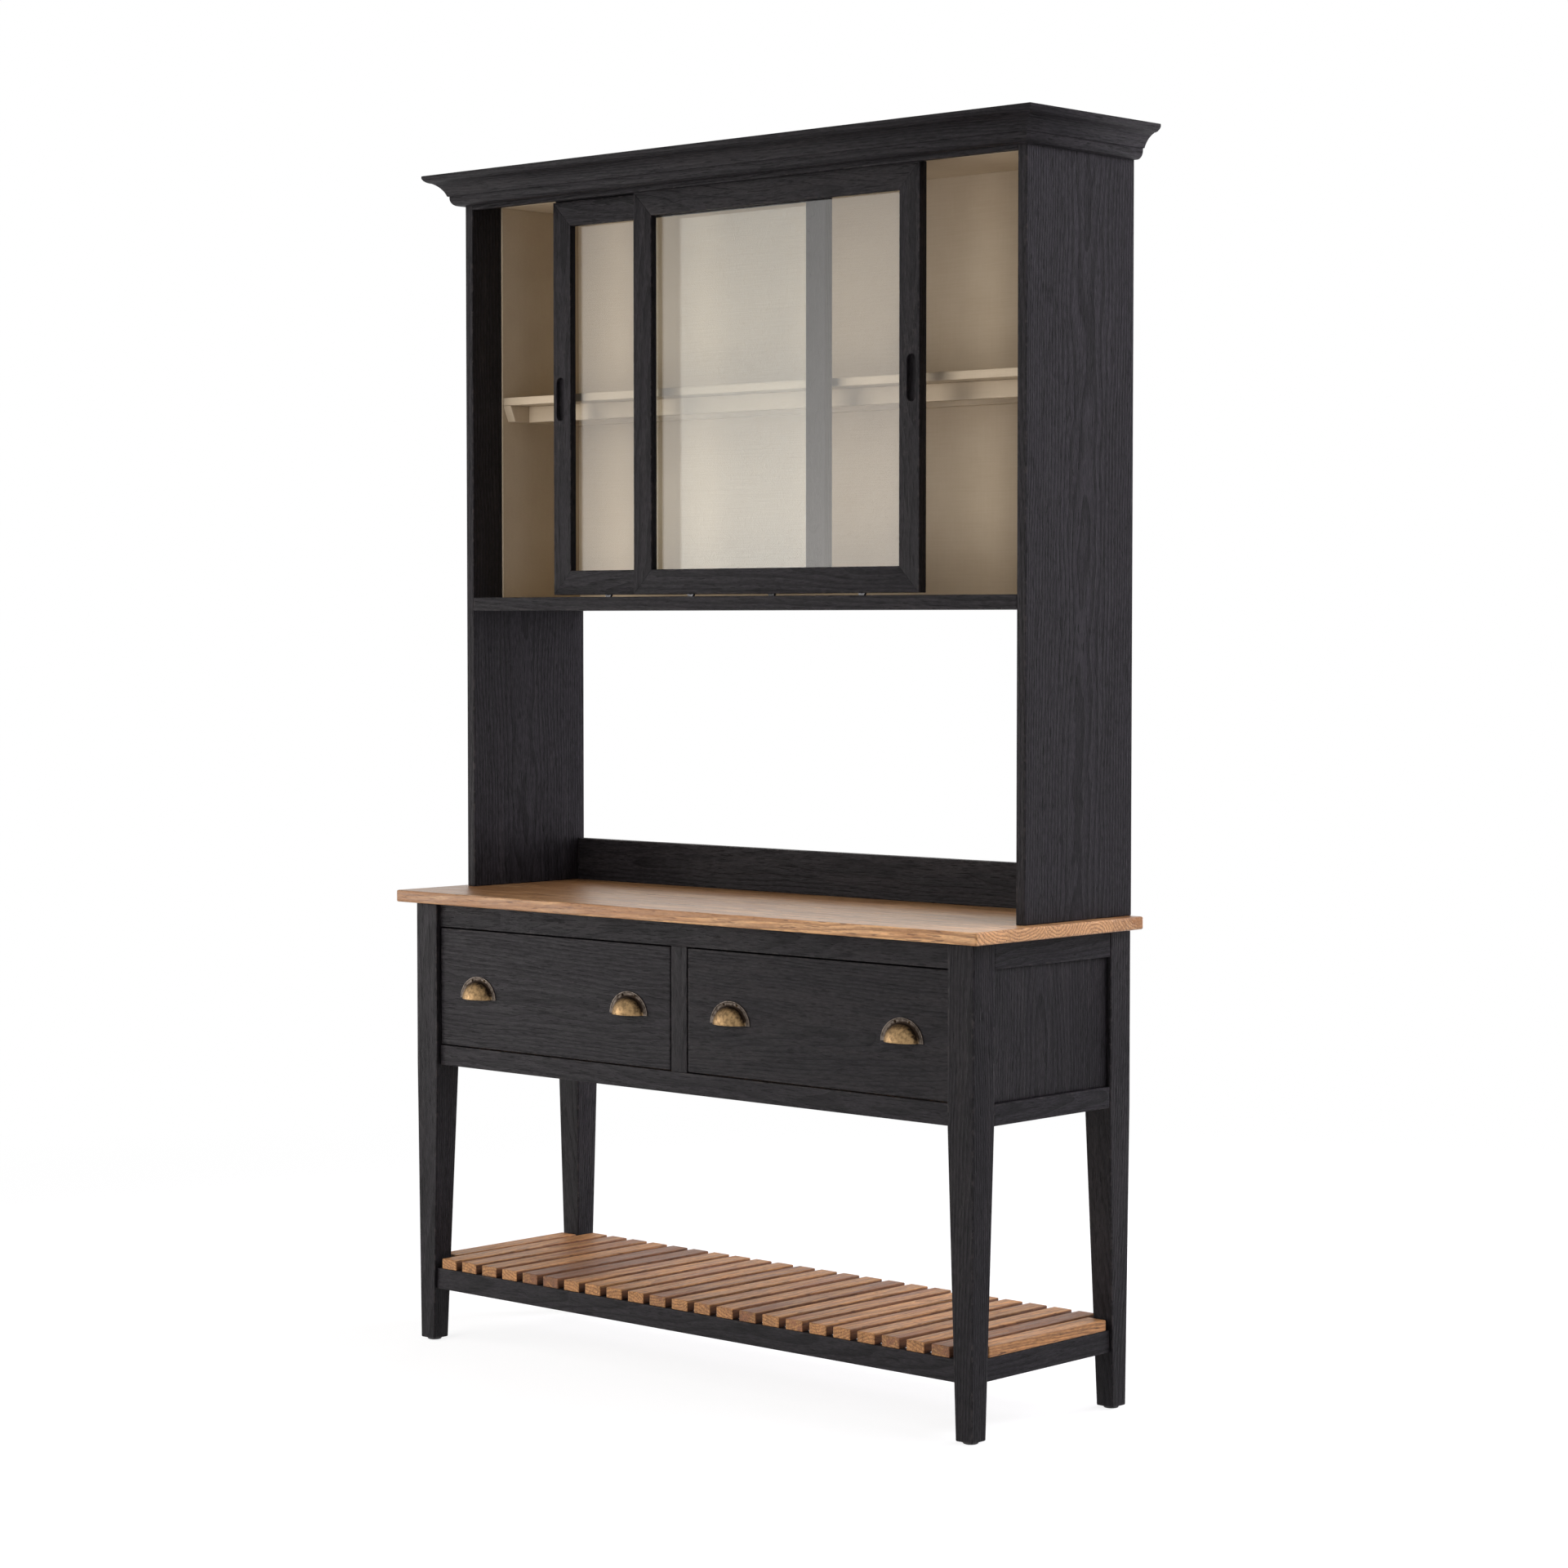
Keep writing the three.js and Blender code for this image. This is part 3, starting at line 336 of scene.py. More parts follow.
def turned(outline: Sequence[Sequence[float]], sides: int, centre: Array, axis: Axis) -> Surface:
    """A shape turned on a lathe.

    Formula: each point of the outline goes round the axis in equal steps at its own radius and
    height. The outline starts and ends on the axis with a small flat face.

    Args:
        outline: radius and height of each point.
        sides: the number of steps round the axis.
        centre: the place of height 0 on the axis.
        axis: the direction of the heights.

    Returns:
        The closed surface.
    """
    shape = np.array(outline, float)
    angles = np.linspace(0, 2 * math.pi, sides, endpoint=False)
    rings = np.zeros((len(shape), sides, 3))
    across, over = [number for number in range(3) if number != axis.value]
    rings[..., across] = shape[:, :1] * np.cos(angles)
    rings[..., over] = shape[:, :1] * np.sin(angles)
    rings[..., axis.value] = shape[:, 1:]
    return ring_loft(rings + centre)


def corners_of(node: str) -> tuple[Array, Array]:
    """The lowest and the highest corner of one CAD node's box."""
    low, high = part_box(node)
    return np.array(low), np.array(high)


def linked(name: str, data: bpy.types.ID) -> Object:
    """A new object of that name in the scene."""
    obj = bpy.data.objects.new(name, data)
    bpy.context.scene.collection.objects.link(obj)
    return obj


def edges_at(side: Side, low: Array, high: Array, width: float) -> tuple[float, float]:
    """The left and the right edge of a piece of that width at one side of a box."""
    if side is Side.LEFT:
        return low[0], low[0] + width
    return high[0] - width, high[0]


def seeded(name: str) -> np.random.RandomState:
    """Random numbers that are always the same for the same name."""
    return np.random.RandomState(zlib.crc32(name.encode()) % 2**31)


@dataclass(frozen=True)
class Grain:
    """How the wood's own block lies in a board: the growth rings are rings about its first axis.

    Attributes:
        origin: a point of the board.
        axes: one row each for the directions along, across and through the board.
        shift: where the origin lies in the block.
        lean: how much the rings' axis leans across and through per metre along.
    """

    origin: Array
    axes: Array
    shift: Array
    lean: Array

    @classmethod
    def of_board(cls, name: str, origin: Array, along: Axis, through: Axis) -> "Grain":
        """The grain of a named board.

        Args:
            name: the board's name, from which its place in the trunk is drawn.
            origin: the board's middle.
            along: the direction of the fibres.
            through: the direction in which the board is thin.

        Returns:
            The grain.
        """
        across = next(axis for axis in Axis if axis not in (along, through))
        axes = np.eye(3)[[along.value, across.value, through.value]]
        random = seeded(name)
        shift = np.array([
            random.uniform(-TRUNK_REACH, TRUNK_REACH),
            random.uniform(-PITH_BESIDE, PITH_BESIDE),
            random.choice([-1, 1]) * random.uniform(*PITH_DEPTH),
        ])
        lean = np.array([
            random.uniform(-LEAN_ACROSS, LEAN_ACROSS),
            random.uniform(-LEAN_THROUGH, LEAN_THROUGH),
        ])
        return cls(origin, axes, shift, lean)

    def at(self, points: Array) -> Array:
        """Each point's place in the wood's block: along, across and through, in metres."""
        local = (points - self.origin) @ self.axes.T
        local[:, 1:] += local[:, :1] * self.lean
        return local + self.shift


@dataclass
class Board:
    """One sawn board with eased arrises.

    Attributes:
        name: the piece's name.
        low: its lowest corner.
        high: its highest corner.
        along: the direction of its length and its grain.
        through: the direction in which it is thin.
        easing: the radius of its arrises.
        extra: further places along it that need a ring of points.
        bend: moves the straight board's points to their real places.
    """

    name: str
    low: Array
    high: Array
    along: Axis
    through: Axis
    easing: float = 0.0012
    extra: Sequence[float] = ()
    bend: Optional[Callable[[Array], Array]] = None

    @classmethod
    def of_node(cls, node: str, along: Axis, through: Axis, **more: object) -> "Board":
        """The board that fills the box of one CAD node."""
        return cls(f"{node}_board", *corners_of(node), along, through, **more)

    @property
    def middle(self) -> Array:
        """The board's middle."""
        return (self.low + self.high) / 2

    def surface(self) -> Surface:
        """The board's surface: a rounded rectangle carried along it, then bent into place."""
        across = next(axis for axis in Axis if axis not in (self.along, self.through))
        size = self.high - self.low
        width, height = size[across.value], size[self.through.value]
        profile = eased_outline(rectangle_corners(width, height), self.easing)
        start = self.low[self.along.value]
        inner = [place - start for place in self.extra]
        length = size[self.along.value]
        stations = eased_stations(length, self.easing, min(width, height), inner)
        outlines = profile.drawn_in(stations.inset)
        rings = np.zeros((*outlines.shape[:2], 3))
        rings[..., self.along.value] = start + stations.along[:, None]
        rings[..., across.value] = self.middle[across.value] + outlines[..., 0]
        rings[..., self.through.value] = self.middle[self.through.value] + outlines[..., 1]
        if self.bend:
            rings = self.bend(rings)
        return ring_loft(rings, wear_grid(stations, profile))

    def grain(self) -> Grain:
        """The board's grain."""
        return Grain.of_board(self.name, self.middle, self.along, self.through)


class Sheet:
    """Adds nodes to one node tree and links them."""

    def __init__(self, tree: NodeTree) -> None:
        """Keeps the tree."""
        self.tree = tree

    def add(self, kind: str, **settings: object) -> Node:
        """A new node of that kind with those settings."""
        node = self.tree.nodes.new(kind)
        for key, value in settings.items():
            setattr(node, key, value)
        return node

    def feed(self, socket: NodeSocket, value: object) -> None:
        """Links a socket to another, or gives it a plain value.

        Args:
            socket: the input.
            value: an output socket, a number or a colour.
        """
        if isinstance(value, NodeSocket):
            self.tree.links.new(value, socket)
        elif socket.type == "RGBA" and len(value) == 3:
            socket.default_value = (*value, 1)
        else:
            socket.default_value = value

    def result(self, kind: str, *values: object, **settings: object) -> NodeSocket:
        """The first output of a new node whose inputs take those values in order."""
        node = self.add(kind, **settings)
        for socket, value in zip(node.inputs, values):
            self.feed(socket, value)
        return node.outputs[0]

    def maths(self, operation: str, *values: object) -> NodeSocket:
        """The result of one Math node."""
        return self.result("ShaderNodeMath", *values, operation=operation)

    def mix(self, share: object, first: object, second: object, way: str = "MIX") -> NodeSocket:
        """A colour between two colours.

        Args:
            share: how much of the second.
            first: the first colour.
            second: the second colour.
            way: the blend type.

        Returns:
            The mixed colour.
        """
        node = self.add("ShaderNodeMix", data_type="RGBA", blend_type=way)
        self.feed(node.inputs[0], share)
        self.feed(node.inputs[6], first)
        self.feed(node.inputs[7], second)
        return node.outputs[2]

    def span(self, value: object, low: float, high: float, start: float = 0, end: float = 1,
             smooth: bool = True) -> NodeSocket:
        """A value moved from one span to another and held within it.

        Args:
            value: the value.
            low: the value that becomes the start.
            high: the value that becomes the end.
            start: the new span's start.
            end: the new span's end.
            smooth: whether it eases in and out.

        Returns:
            The moved value.
        """
        way = "SMOOTHSTEP" if smooth else "LINEAR"
        numbers = (value, low, high, start, end)
        return self.result("ShaderNodeMapRange", *numbers, interpolation_type=way)

    def stretched(self, vector: object, factors: object) -> NodeSocket:
        """A vector times a vector, part by part."""
        return self.result("ShaderNodeVectorMath", vector, factors, operation="MULTIPLY")

    def noise(self, vector: object, scale: float = 1, detail: float = 2,
              roughness: float = 0.5) -> NodeSocket:
        """Smooth noise about 0.5 at a vector."""
        node = self.add("ShaderNodeTexNoise")
        self.fill(node, Vector=vector, Scale=scale, Detail=detail, Roughness=roughness)
        return node.outputs["Fac"]

    def attribute(self, name: str) -> Node:
        """The node that reads one attribute of the mesh."""
        return self.add("ShaderNodeAttribute", attribute_name=name)

    def bump(self, height: object, distance: float) -> NodeSocket:
        """The normal of a surface with that relief."""
        node = self.add("ShaderNodeBump")
        self.fill(node, Strength=1, Distance=distance, Height=height)
        return node.outputs[0]

    def fill(self, node: Node, **values: object) -> None:
        """Feeds a node's inputs by name; an underscore in a name stands for a space."""
        for key, value in values.items():
            self.feed(node.inputs[key.replace("_", " ")], value)

    def group(self, tree: NodeTree, **values: object) -> object:
        """The outputs of a group node with its own values."""
        node = self.add("ShaderNodeGroup", node_tree=tree)
        self.fill(node, **values)
        return node.outputs


class Effect:
    """A node group in the making: its sockets, its sheet and its two end nodes."""

    def __init__(self, name: str, numbers: Sequence[str], outputs: Sequence[str]) -> None:
        """Makes the group; its first input is always a place in the wood or on the object.

        Args:
            name: the group's name.
            numbers: the names of its number inputs.
            outputs: the names of its number outputs.
        """
        self.tree = bpy.data.node_groups.new(name, "ShaderNodeTree")
        face = self.tree.interface
        face.new_socket(name="Place", in_out="INPUT", socket_type="NodeSocketVector")
        for title in numbers:
            face.new_socket(name=title, in_out="INPUT", socket_type="NodeSocketFloat")
        for title in outputs:
            face.new_socket(name=title, in_out="OUTPUT", socket_type="NodeSocketFloat")
        self.sheet = Sheet(self.tree)
        self.given = self.sheet.add("NodeGroupInput").outputs
        self.result = self.sheet.add("NodeGroupOutput").inputs


class Effects:
    """The shader effects that several finishes share, each built once as a node group."""

    def __init__(self) -> None:
        """Builds the groups."""
        self.wood = self.build_wood()
        self.wear = self.build_wear()
        self.mottle = self.build_mottle()

    @staticmethod
    def build_wood() -> NodeTree:
        """Growth rings, fibres, pores and soft patches of a block of wood.

        Formula: the distance from the pith line, moved about by slow noise and divided by the ring
        pitch, climbs within each ring from pale early wood to a dark line of late wood. Fibres and
        pores are noise drawn out a long way along the wood, and patches are slow noise.

        Returns:
            The group, with the outputs Rings, Fibre, Coarse, Pores and Patches.
        """
        outputs = ["Rings", "Fibre", "Coarse", "Pores", "Patches"]
        effect = Effect("wood_block", ["Ring Pitch", "Wander"], outputs)
        sheet = effect.sheet
        place = effect.given["Place"]
        wander = effect.given["Wander"]
        parts = sheet.add("ShaderNodeSeparateXYZ")
        sheet.feed(parts.inputs[0], place)
        slow = sheet.stretched(place, (2.2, 9, 9))
        moved = []
        for number, turn in ((1, 1.0), (2, 1.7)):
            drift = sheet.noise(sheet.stretched(slow, (turn, turn, turn)), detail=2.5)
            offset = sheet.maths("MULTIPLY", sheet.maths("SUBTRACT", drift, 0.5), wander)
            moved.append(sheet.maths("ADD", parts.outputs[number], offset))
        squares = [sheet.maths("MULTIPLY", part, part) for part in moved]
        distance = sheet.maths("SQRT", sheet.maths("ADD", *squares))
        phase = sheet.maths("FRACT", sheet.maths("DIVIDE", distance, effect.given["Ring Pitch"]))
        late = sheet.span(phase, 0.25, 0.88)
        rest = sheet.span(phase, 0.92, 1.0, 1, 0)
        sheet.feed(effect.result["Rings"], sheet.maths("MULTIPLY", late, rest))
        fibre = sheet.noise(sheet.stretched(place, (75, 380, 380)), detail=3, roughness=0.65)
        sheet.feed(effect.result["Fibre"], fibre)
        coarse = sheet.noise(sheet.stretched(place, (9, 170, 170)), detail=3, roughness=0.6)
        sheet.feed(effect.result["Coarse"], coarse)
        pores = sheet.noise(sheet.stretched(place, (34, 400, 400)), detail=1)
        sheet.feed(effect.result["Pores"], sheet.span(pores, 0.6, 0.7))
        patches = sheet.noise(sheet.stretched(place, (4, 42, 42)), detail=4, roughness=0.6)
        sheet.feed(effect.result["Patches"], patches)
        return effect.tree

    @staticmethod
    def build_wear() -> NodeTree:
        """Wear on arrises: the mesh's edge mask, broken up by noise along the edge.

        Returns:
            The group, with the output Worn.
        """
        effect = Effect("edge_wear", ["Edge", "Amount"], ["Worn"])
        sheet = effect.sheet
        place = effect.given["Place"]
        broken = sheet.noise(sheet.stretched(place, (60, 60, 60)), detail=4, roughness=0.65)
        limit = sheet.maths("SUBTRACT", 1.0, effect.given["Amount"])
        over = sheet.maths("SUBTRACT", sheet.maths("MULTIPLY", broken, 1.3), limit)
        spots = sheet.span(over, 0.0, 0.18)
        sheet.feed(effect.result["Worn"], sheet.maths("MULTIPLY", spots, effect.given["Edge"]))
        return effect.tree

    @staticmethod
    def build_mottle() -> NodeTree:
        """Soft cloudy patches and small specks, for paint, metal and plastic.

        Returns:
            The group, with the outputs Cloud and Speck.
        """
        effect = Effect("soft_mottle", ["Size"], ["Cloud", "Speck"])
        sheet = effect.sheet
        scaled = sheet.add("ShaderNodeVectorMath", operation="SCALE")
        sheet.feed(scaled.inputs[0], effect.given["Place"])
        sheet.feed(scaled.inputs["Scale"], sheet.maths("DIVIDE", 1.0, effect.given["Size"]))
        cloud = sheet.noise(scaled.outputs[0], detail=4, roughness=0.6)
        sheet.feed(effect.result["Cloud"], cloud)
        speck = sheet.noise(scaled.outputs[0], scale=9)
        sheet.feed(effect.result["Speck"], sheet.span(speck, 0.62, 0.74))
        return effect.tree


def new_material(name: str) -> tuple[Material, Sheet, Node]:
    """An empty material with its sheet and its Principled BSDF.

    Args:
        name: the material's name.

    Returns:
        The material, its sheet and the shader node.
    """
    material = bpy.data.materials.new(name)
    material.use_nodes = True
    sheet = Sheet(material.node_tree)
    return material, sheet, material.node_tree.nodes["Principled BSDF"]


@dataclass(frozen=True)
class Finish:
    """What all finishes share: a name, and a material whose shader each kind dresses its own way."""

    name: str

    def dress(self, sheet: Sheet, shader: Node, effects: Effects) -> None:
        """Adds the finish's own nodes to the sheet and feeds the shader with them."""
        raise NotImplementedError

    def build(self, effects: Effects) -> Material:
        """Makes the material.

        Args:
            effects: the shared node groups.

        Returns:
            The material.
        """
        material, sheet, shader = new_material(self.name)
        self.dress(sheet, shader, effects)
        return material


@dataclass(frozen=True)
class WoodFinish(Finish):
    """A wooden surface, bare, oiled or stained black.

    Attributes:
        pale: colour of the early wood.
        dark: colour of the late wood.
        heart: a second colour that comes in large patches.
        pore: colour in the pores.
        worn: colour on worn arrises.
        heart_share: how much of the second colour there is, 0 to 1.
        ring_pitch: the width of a growth ring.
        wander: how far the rings stray.
        ring_depth: how strongly the rings show in the colour.
        fibre_depth: how strongly the fibres lighten and darken.
        streak_share: how strong the long streaks are beside the short fibres.
        pore_depth: how strongly the pores show.
        patch_depth: how strongly the soft patches show.
        tone_depth: how much the tone attribute, 0 for pale to 1 for dark, changes its lightness; it holds a
            board's own tone and, on the slats' sides and the worktop, painted shade.
        wear: how much of the arrises is worn.
        relief: the height of the brushed grain.
        roughness: the least and the greatest roughness.
        specular: the strength of the gloss.
    """

    pale: Colour
    dark: Colour
    heart: Colour
    pore: Colour
    worn: Colour
    heart_share: float
    ring_pitch: float
    wander: float
    ring_depth: float
    fibre_depth: float
    streak_share: float
    pore_depth: float
    patch_depth: float
    tone_depth: float
    wear: float
    relief: float
    roughness: tuple[float, float]
    specular: float

    def dress(self, sheet: Sheet, shader: Node, effects: Effects) -> None:
        """Colours the wood by its own block and grain, and lightens it by the tone attribute, which on the
        slats and the worktop also carries painted shade.
        """
        place = sheet.attribute("grain").outputs["Vector"]
        tone = sheet.attribute("tone").outputs["Fac"]
        edge = sheet.attribute("edge").outputs["Fac"]
        wood = sheet.group(effects.wood, Place=place, Ring_Pitch=self.ring_pitch, Wander=self.wander)
        ringed = sheet.mix(sheet.maths("MULTIPLY", wood["Rings"], self.ring_depth), self.pale, self.dark)
        off_mean = sheet.maths("SUBTRACT", tone, 0.5)
        patched = sheet.maths("MULTIPLY_ADD", off_mean, 0.35, wood["Patches"])
        edge_of_heart = 0.72 - self.heart_share * 0.3
        blur = 0.07
        heart = sheet.span(patched, edge_of_heart - blur, edge_of_heart + blur)
        hearted = sheet.mix(sheet.maths("MULTIPLY", heart, 0.85), ringed, self.heart)
        streak = sheet.maths("SUBTRACT", wood["Coarse"], 0.5)
        fibre = sheet.maths("MULTIPLY_ADD", streak, self.streak_share, wood["Fibre"])
        light = sheet.maths("MULTIPLY_ADD", sheet.maths("SUBTRACT", fibre, 0.5), self.fibre_depth, 1.0)
        patch = sheet.maths("SUBTRACT", wood["Patches"], 0.5)
        lit = sheet.maths("MULTIPLY_ADD", patch, self.patch_depth, light)
        lightness = sheet.maths("MULTIPLY_ADD", off_mean, -2.0 * self.tone_depth, 1.0)
        toned = sheet.maths("MULTIPLY", lit, lightness)
        grey = sheet.result("ShaderNodeCombineColor", toned, toned, toned)
        shaded = sheet.mix(1.0, hearted, grey, "MULTIPLY")
        pored = sheet.mix(sheet.maths("MULTIPLY", wood["Pores"], self.pore_depth), shaded, self.pore)
        worn = sheet.group(effects.wear, Place=place, Edge=edge, Amount=self.wear)["Worn"]
        ridge = sheet.maths("MULTIPLY_ADD", wood["Rings"], 0.5, sheet.maths("MULTIPLY", fibre, 0.9))
        height = sheet.maths("SUBTRACT", ridge, sheet.maths("MULTIPLY", wood["Pores"], 0.6))
        sheet.fill(
            shader,
            Base_Color=sheet.mix(worn, pored, self.worn),
            Roughness=sheet.span(wood["Coarse"], 0.3, 0.7, *self.roughness),
            Normal=sheet.bump(height, self.relief),
            Specular_IOR_Level=self.specular,
        )


@dataclass(frozen=True)
class PaintFinish(Finish):
    """Brushed paint on smooth boards."""

    colour: Colour
    deep: Colour
    roughness: tuple[float, float]
    relief: float
    cloud_size: float = 0.11
    specular: float = 0.35

    def dress(self, sheet: Sheet, shader: Node, effects: Effects) -> None:
        """Lays level brush marks and faint clouds over the object's own coordinates."""
        place = sheet.add("ShaderNodeTexCoord").outputs["Object"]
        mottle = sheet.group(effects.mottle, Place=place, Size=self.cloud_size)
        level = sheet.noise(sheet.stretched(place, (14, 160, 420)), detail=3, roughness=0.6)
        upright = sheet.noise(sheet.stretched(place, (420, 160, 22)))
        marks = sheet.maths("MULTIPLY_ADD", upright, 0.5, level)
        share = sheet.maths("MULTIPLY_ADD", mottle["Cloud"], 0.7, sheet.maths("MULTIPLY", marks, 0.35))
        colour = sheet.mix(sheet.span(share, 0.35, 0.95), self.colour, self.deep)
        sheet.fill(
            shader,
            Base_Color=colour,
            Roughness=sheet.span(marks, 0.4, 1.1, *self.roughness),
            Normal=sheet.bump(marks, self.relief),
            Specular_IOR_Level=self.specular,
        )


@dataclass(frozen=True)
class MetalFinish(Finish):
    """A metal with tarnish, fine marks and, on cast pieces, a worn grey flange.

    The attribute tone is 1 in hollows, where the metal stays dark with tarnish and, round the foot of a
    pull's hood, with painted shade, and 0 on rubbed places. The attribute edge is 1 where the plating has
    worn to the given worn colour.
    """

    bright: Colour
    tarnish: Colour
    spot: float
    roughness: tuple[float, float]
    relief: float
    worn: Optional[Colour] = None

    def dress(self, sheet: Sheet, shader: Node, effects: Effects) -> None:
        """Spreads tarnish in spots and hollows, where the hollows also carry painted shade, and scratches
        the metal finely.
        """
        place = sheet.add("ShaderNodeTexCoord").outputs["Object"]
        mottle = sheet.group(effects.mottle, Place=place, Size=self.spot)
        tarnish = sheet.maths("MULTIPLY", sheet.span(mottle["Cloud"], 0.38, 0.68), 0.55)
        metal = self.bright
        if self.worn:
            # The tone attribute: tarnish, and painted shade in the pull's crevice.
            hollow = sheet.attribute("tone").outputs["Fac"]
            tarnish = sheet.maths("MULTIPLY_ADD", tarnish, 0.9, hollow)
            rubbed = sheet.attribute("edge").outputs["Fac"]
            metal = sheet.mix(rubbed, self.bright, self.worn)
        share = sheet.span(sheet.maths("MULTIPLY_ADD", mottle["Speck"], 0.25, tarnish), 0, 1, smooth=False)
        scratches = sheet.noise(sheet.stretched(place, (900, 900, 90)))
        height = sheet.maths("MULTIPLY_ADD", mottle["Cloud"], 0.8, scratches)
        sheet.fill(
            shader,
            Base_Color=sheet.mix(share, metal, self.tarnish),
            Roughness=sheet.span(share, 0, 1, *self.roughness),
            Normal=sheet.bump(height, self.relief),
            Metallic=1,
        )


@dataclass(frozen=True)
class PlasticFinish(Finish):
    """Moulded plastic with scuffs."""

    colour: Colour
    scuff: Colour
    roughness: tuple[float, float] = (0.4, 0.65)
    scuff_size: float = 0.012
    relief: float = 0.0002

    def dress(self, sheet: Sheet, shader: Node, effects: Effects) -> None:
        """Scuffs the plastic in small clouds."""
        place = sheet.add("ShaderNodeTexCoord").outputs["Object"]
        mottle = sheet.group(effects.mottle, Place=place, Size=self.scuff_size)
        share = sheet.span(mottle["Cloud"], 0.45, 0.8)
        sheet.fill(
            shader,
            Base_Color=sheet.mix(share, self.colour, self.scuff),
            Roughness=sheet.span(mottle["Cloud"], 0.3, 0.7, *self.roughness),
            Normal=sheet.bump(mottle["Cloud"], self.relief),
        )


@dataclass(frozen=True)
class GlassFinish(Finish):
    """A clear pane with a breath of dust, which lets lamp light and bounced light straight through."""

    tint: Colour
    ior: float = 1.5
    dust_size: float = 0.2
    dust_roughness: float = 0.012
    clearness: Colour = (0.9, 0.9, 0.9)

    def dress(self, sheet: Sheet, shader: Node, effects: Effects) -> None:
        """Tints the pane, dusts it, and mixes in a clear shader for the rays of lamp light."""
        sheet.fill(shader, Base_Color=self.tint, Transmission_Weight=1, IOR=self.ior)
        place = sheet.add("ShaderNodeTexCoord").outputs["Object"]
        mottle = sheet.group(effects.mottle, Place=place, Size=self.dust_size)
        dusty = sheet.span(mottle["Cloud"], 0.5, 0.9, 0.0, self.dust_roughness)
        sheet.feed(shader.inputs["Roughness"], dusty)
        path = sheet.add("ShaderNodeLightPath").outputs
        through = sheet.maths("MAXIMUM", path["Is Shadow Ray"], path["Is Diffuse Ray"])
        clear = sheet.add("ShaderNodeBsdfTransparent")
        sheet.fill(clear, Color=self.clearness)
        blend = sheet.result("ShaderNodeMixShader", through, shader.outputs[0], clear.outputs[0])
        sheet.fill(sheet.tree.nodes["Material Output"], Surface=blend)


BLACK_WOOD = WoodFinish(
    name="black_stained_wood",
    pale=(0.0172, 0.0155, 0.0174),
    dark=(0.0068, 0.0062, 0.0069),
    heart=(0.0188, 0.0167, 0.0179),
    pore=(0.003, 0.0028, 0.003),
    worn=(0.032, 0.028, 0.028),
    heart_share=0.3,
    ring_pitch=0.0052,
    wander=0.021,
    ring_depth=0.75,
    fibre_depth=2.5,
    streak_share=0.45,
    pore_depth=0.8,
    patch_depth=0.7,
    tone_depth=0.12,
    wear=0.35,
    relief=0.0007,
    roughness=(0.45, 0.62),
    specular=0.12,
)
WORKTOP_WOOD = WoodFinish(
    name="oiled_worktop_wood",
    pale=(0.62, 0.352, 0.160),
    dark=(0.31, 0.15, 0.062),
    heart=(0.34, 0.16, 0.062),
    pore=(0.12, 0.055, 0.028),
    worn=(0.62, 0.36, 0.17),
    heart_share=0.45,
    ring_pitch=0.0062,
    wander=0.024,
    ring_depth=0.85,
    fibre_depth=0.9,
    streak_share=0.8,
    pore_depth=0.7,
    patch_depth=0.35,
    tone_depth=0.26,
    wear=0.1,
    relief=0.0003,
    roughness=(0.27, 0.42),
    specular=0.3,
)
SLAT_WOOD = WoodFinish(
    name="weathered_slat_wood",
    pale=(0.42, 0.215, 0.086),
    dark=(0.20, 0.086, 0.038),
    heart=(0.205, 0.092, 0.05),
    pore=(0.06, 0.03, 0.02),
    worn=(0.45, 0.27, 0.12),
    heart_share=0.55,
    ring_pitch=0.0055,
    wander=0.022,
    ring_depth=0.65,
    fibre_depth=1.4,
    streak_share=0.9,
    pore_depth=0.7,
    patch_depth=0.9,
    tone_depth=0.22,
    wear=0.05,
    relief=0.0005,
    roughness=(0.42, 0.62),
    specular=0.25,
)
DRAWER_WOOD = WoodFinish(
    name="bare_drawer_wood",
    pale=(0.62, 0.43, 0.24),
    dark=(0.45, 0.28, 0.14),
    heart=(0.50, 0.33, 0.18),
    pore=(0.3, 0.19, 0.1),
    worn=(0.66, 0.48, 0.29),
    heart_share=0.3,
    ring_pitch=0.006,
    wander=0.03,
    ring_depth=0.5,
    fibre_depth=0.4,
    streak_share=1.0,
    pore_depth=0.3,
    patch_depth=0.3,
    tone_depth=0.1,
    wear=0.15,
    relief=0.00025,
    roughness=(0.55, 0.7),
    specular=0.35,
)
CREAM_PAINT = PaintFinish("cream_paint", (0.57, 0.47, 0.335), (0.50, 0.40, 0.275), (0.5, 0.62), 0.00018)
ANTIQUE_BRASS = MetalFinish(
    "antique_brass", (0.36, 0.235, 0.115), (0.026, 0.017, 0.012), 0.006, (0.45, 0.66), 0.0001,
    (0.19, 0.158, 0.132),
)
TRACK_ALUMINIUM = MetalFinish(
    "track_aluminium", (0.62, 0.62, 0.63), (0.4, 0.4, 0.41), 0.03, (0.3, 0.45), 0.0001
)
ROLLER_STEEL = MetalFinish(
    "roller_steel", (0.13, 0.13, 0.135), (0.05, 0.05, 0.05), 0.005, (0.3, 0.45), 0.0001
)
GLIDE_PLASTIC = PlasticFinish("glide_plastic", (0.02, 0.02, 0.021), (0.07, 0.068, 0.066))
DOOR_GLASS = GlassFinish("door_glass", (0.97, 0.986, 0.97))


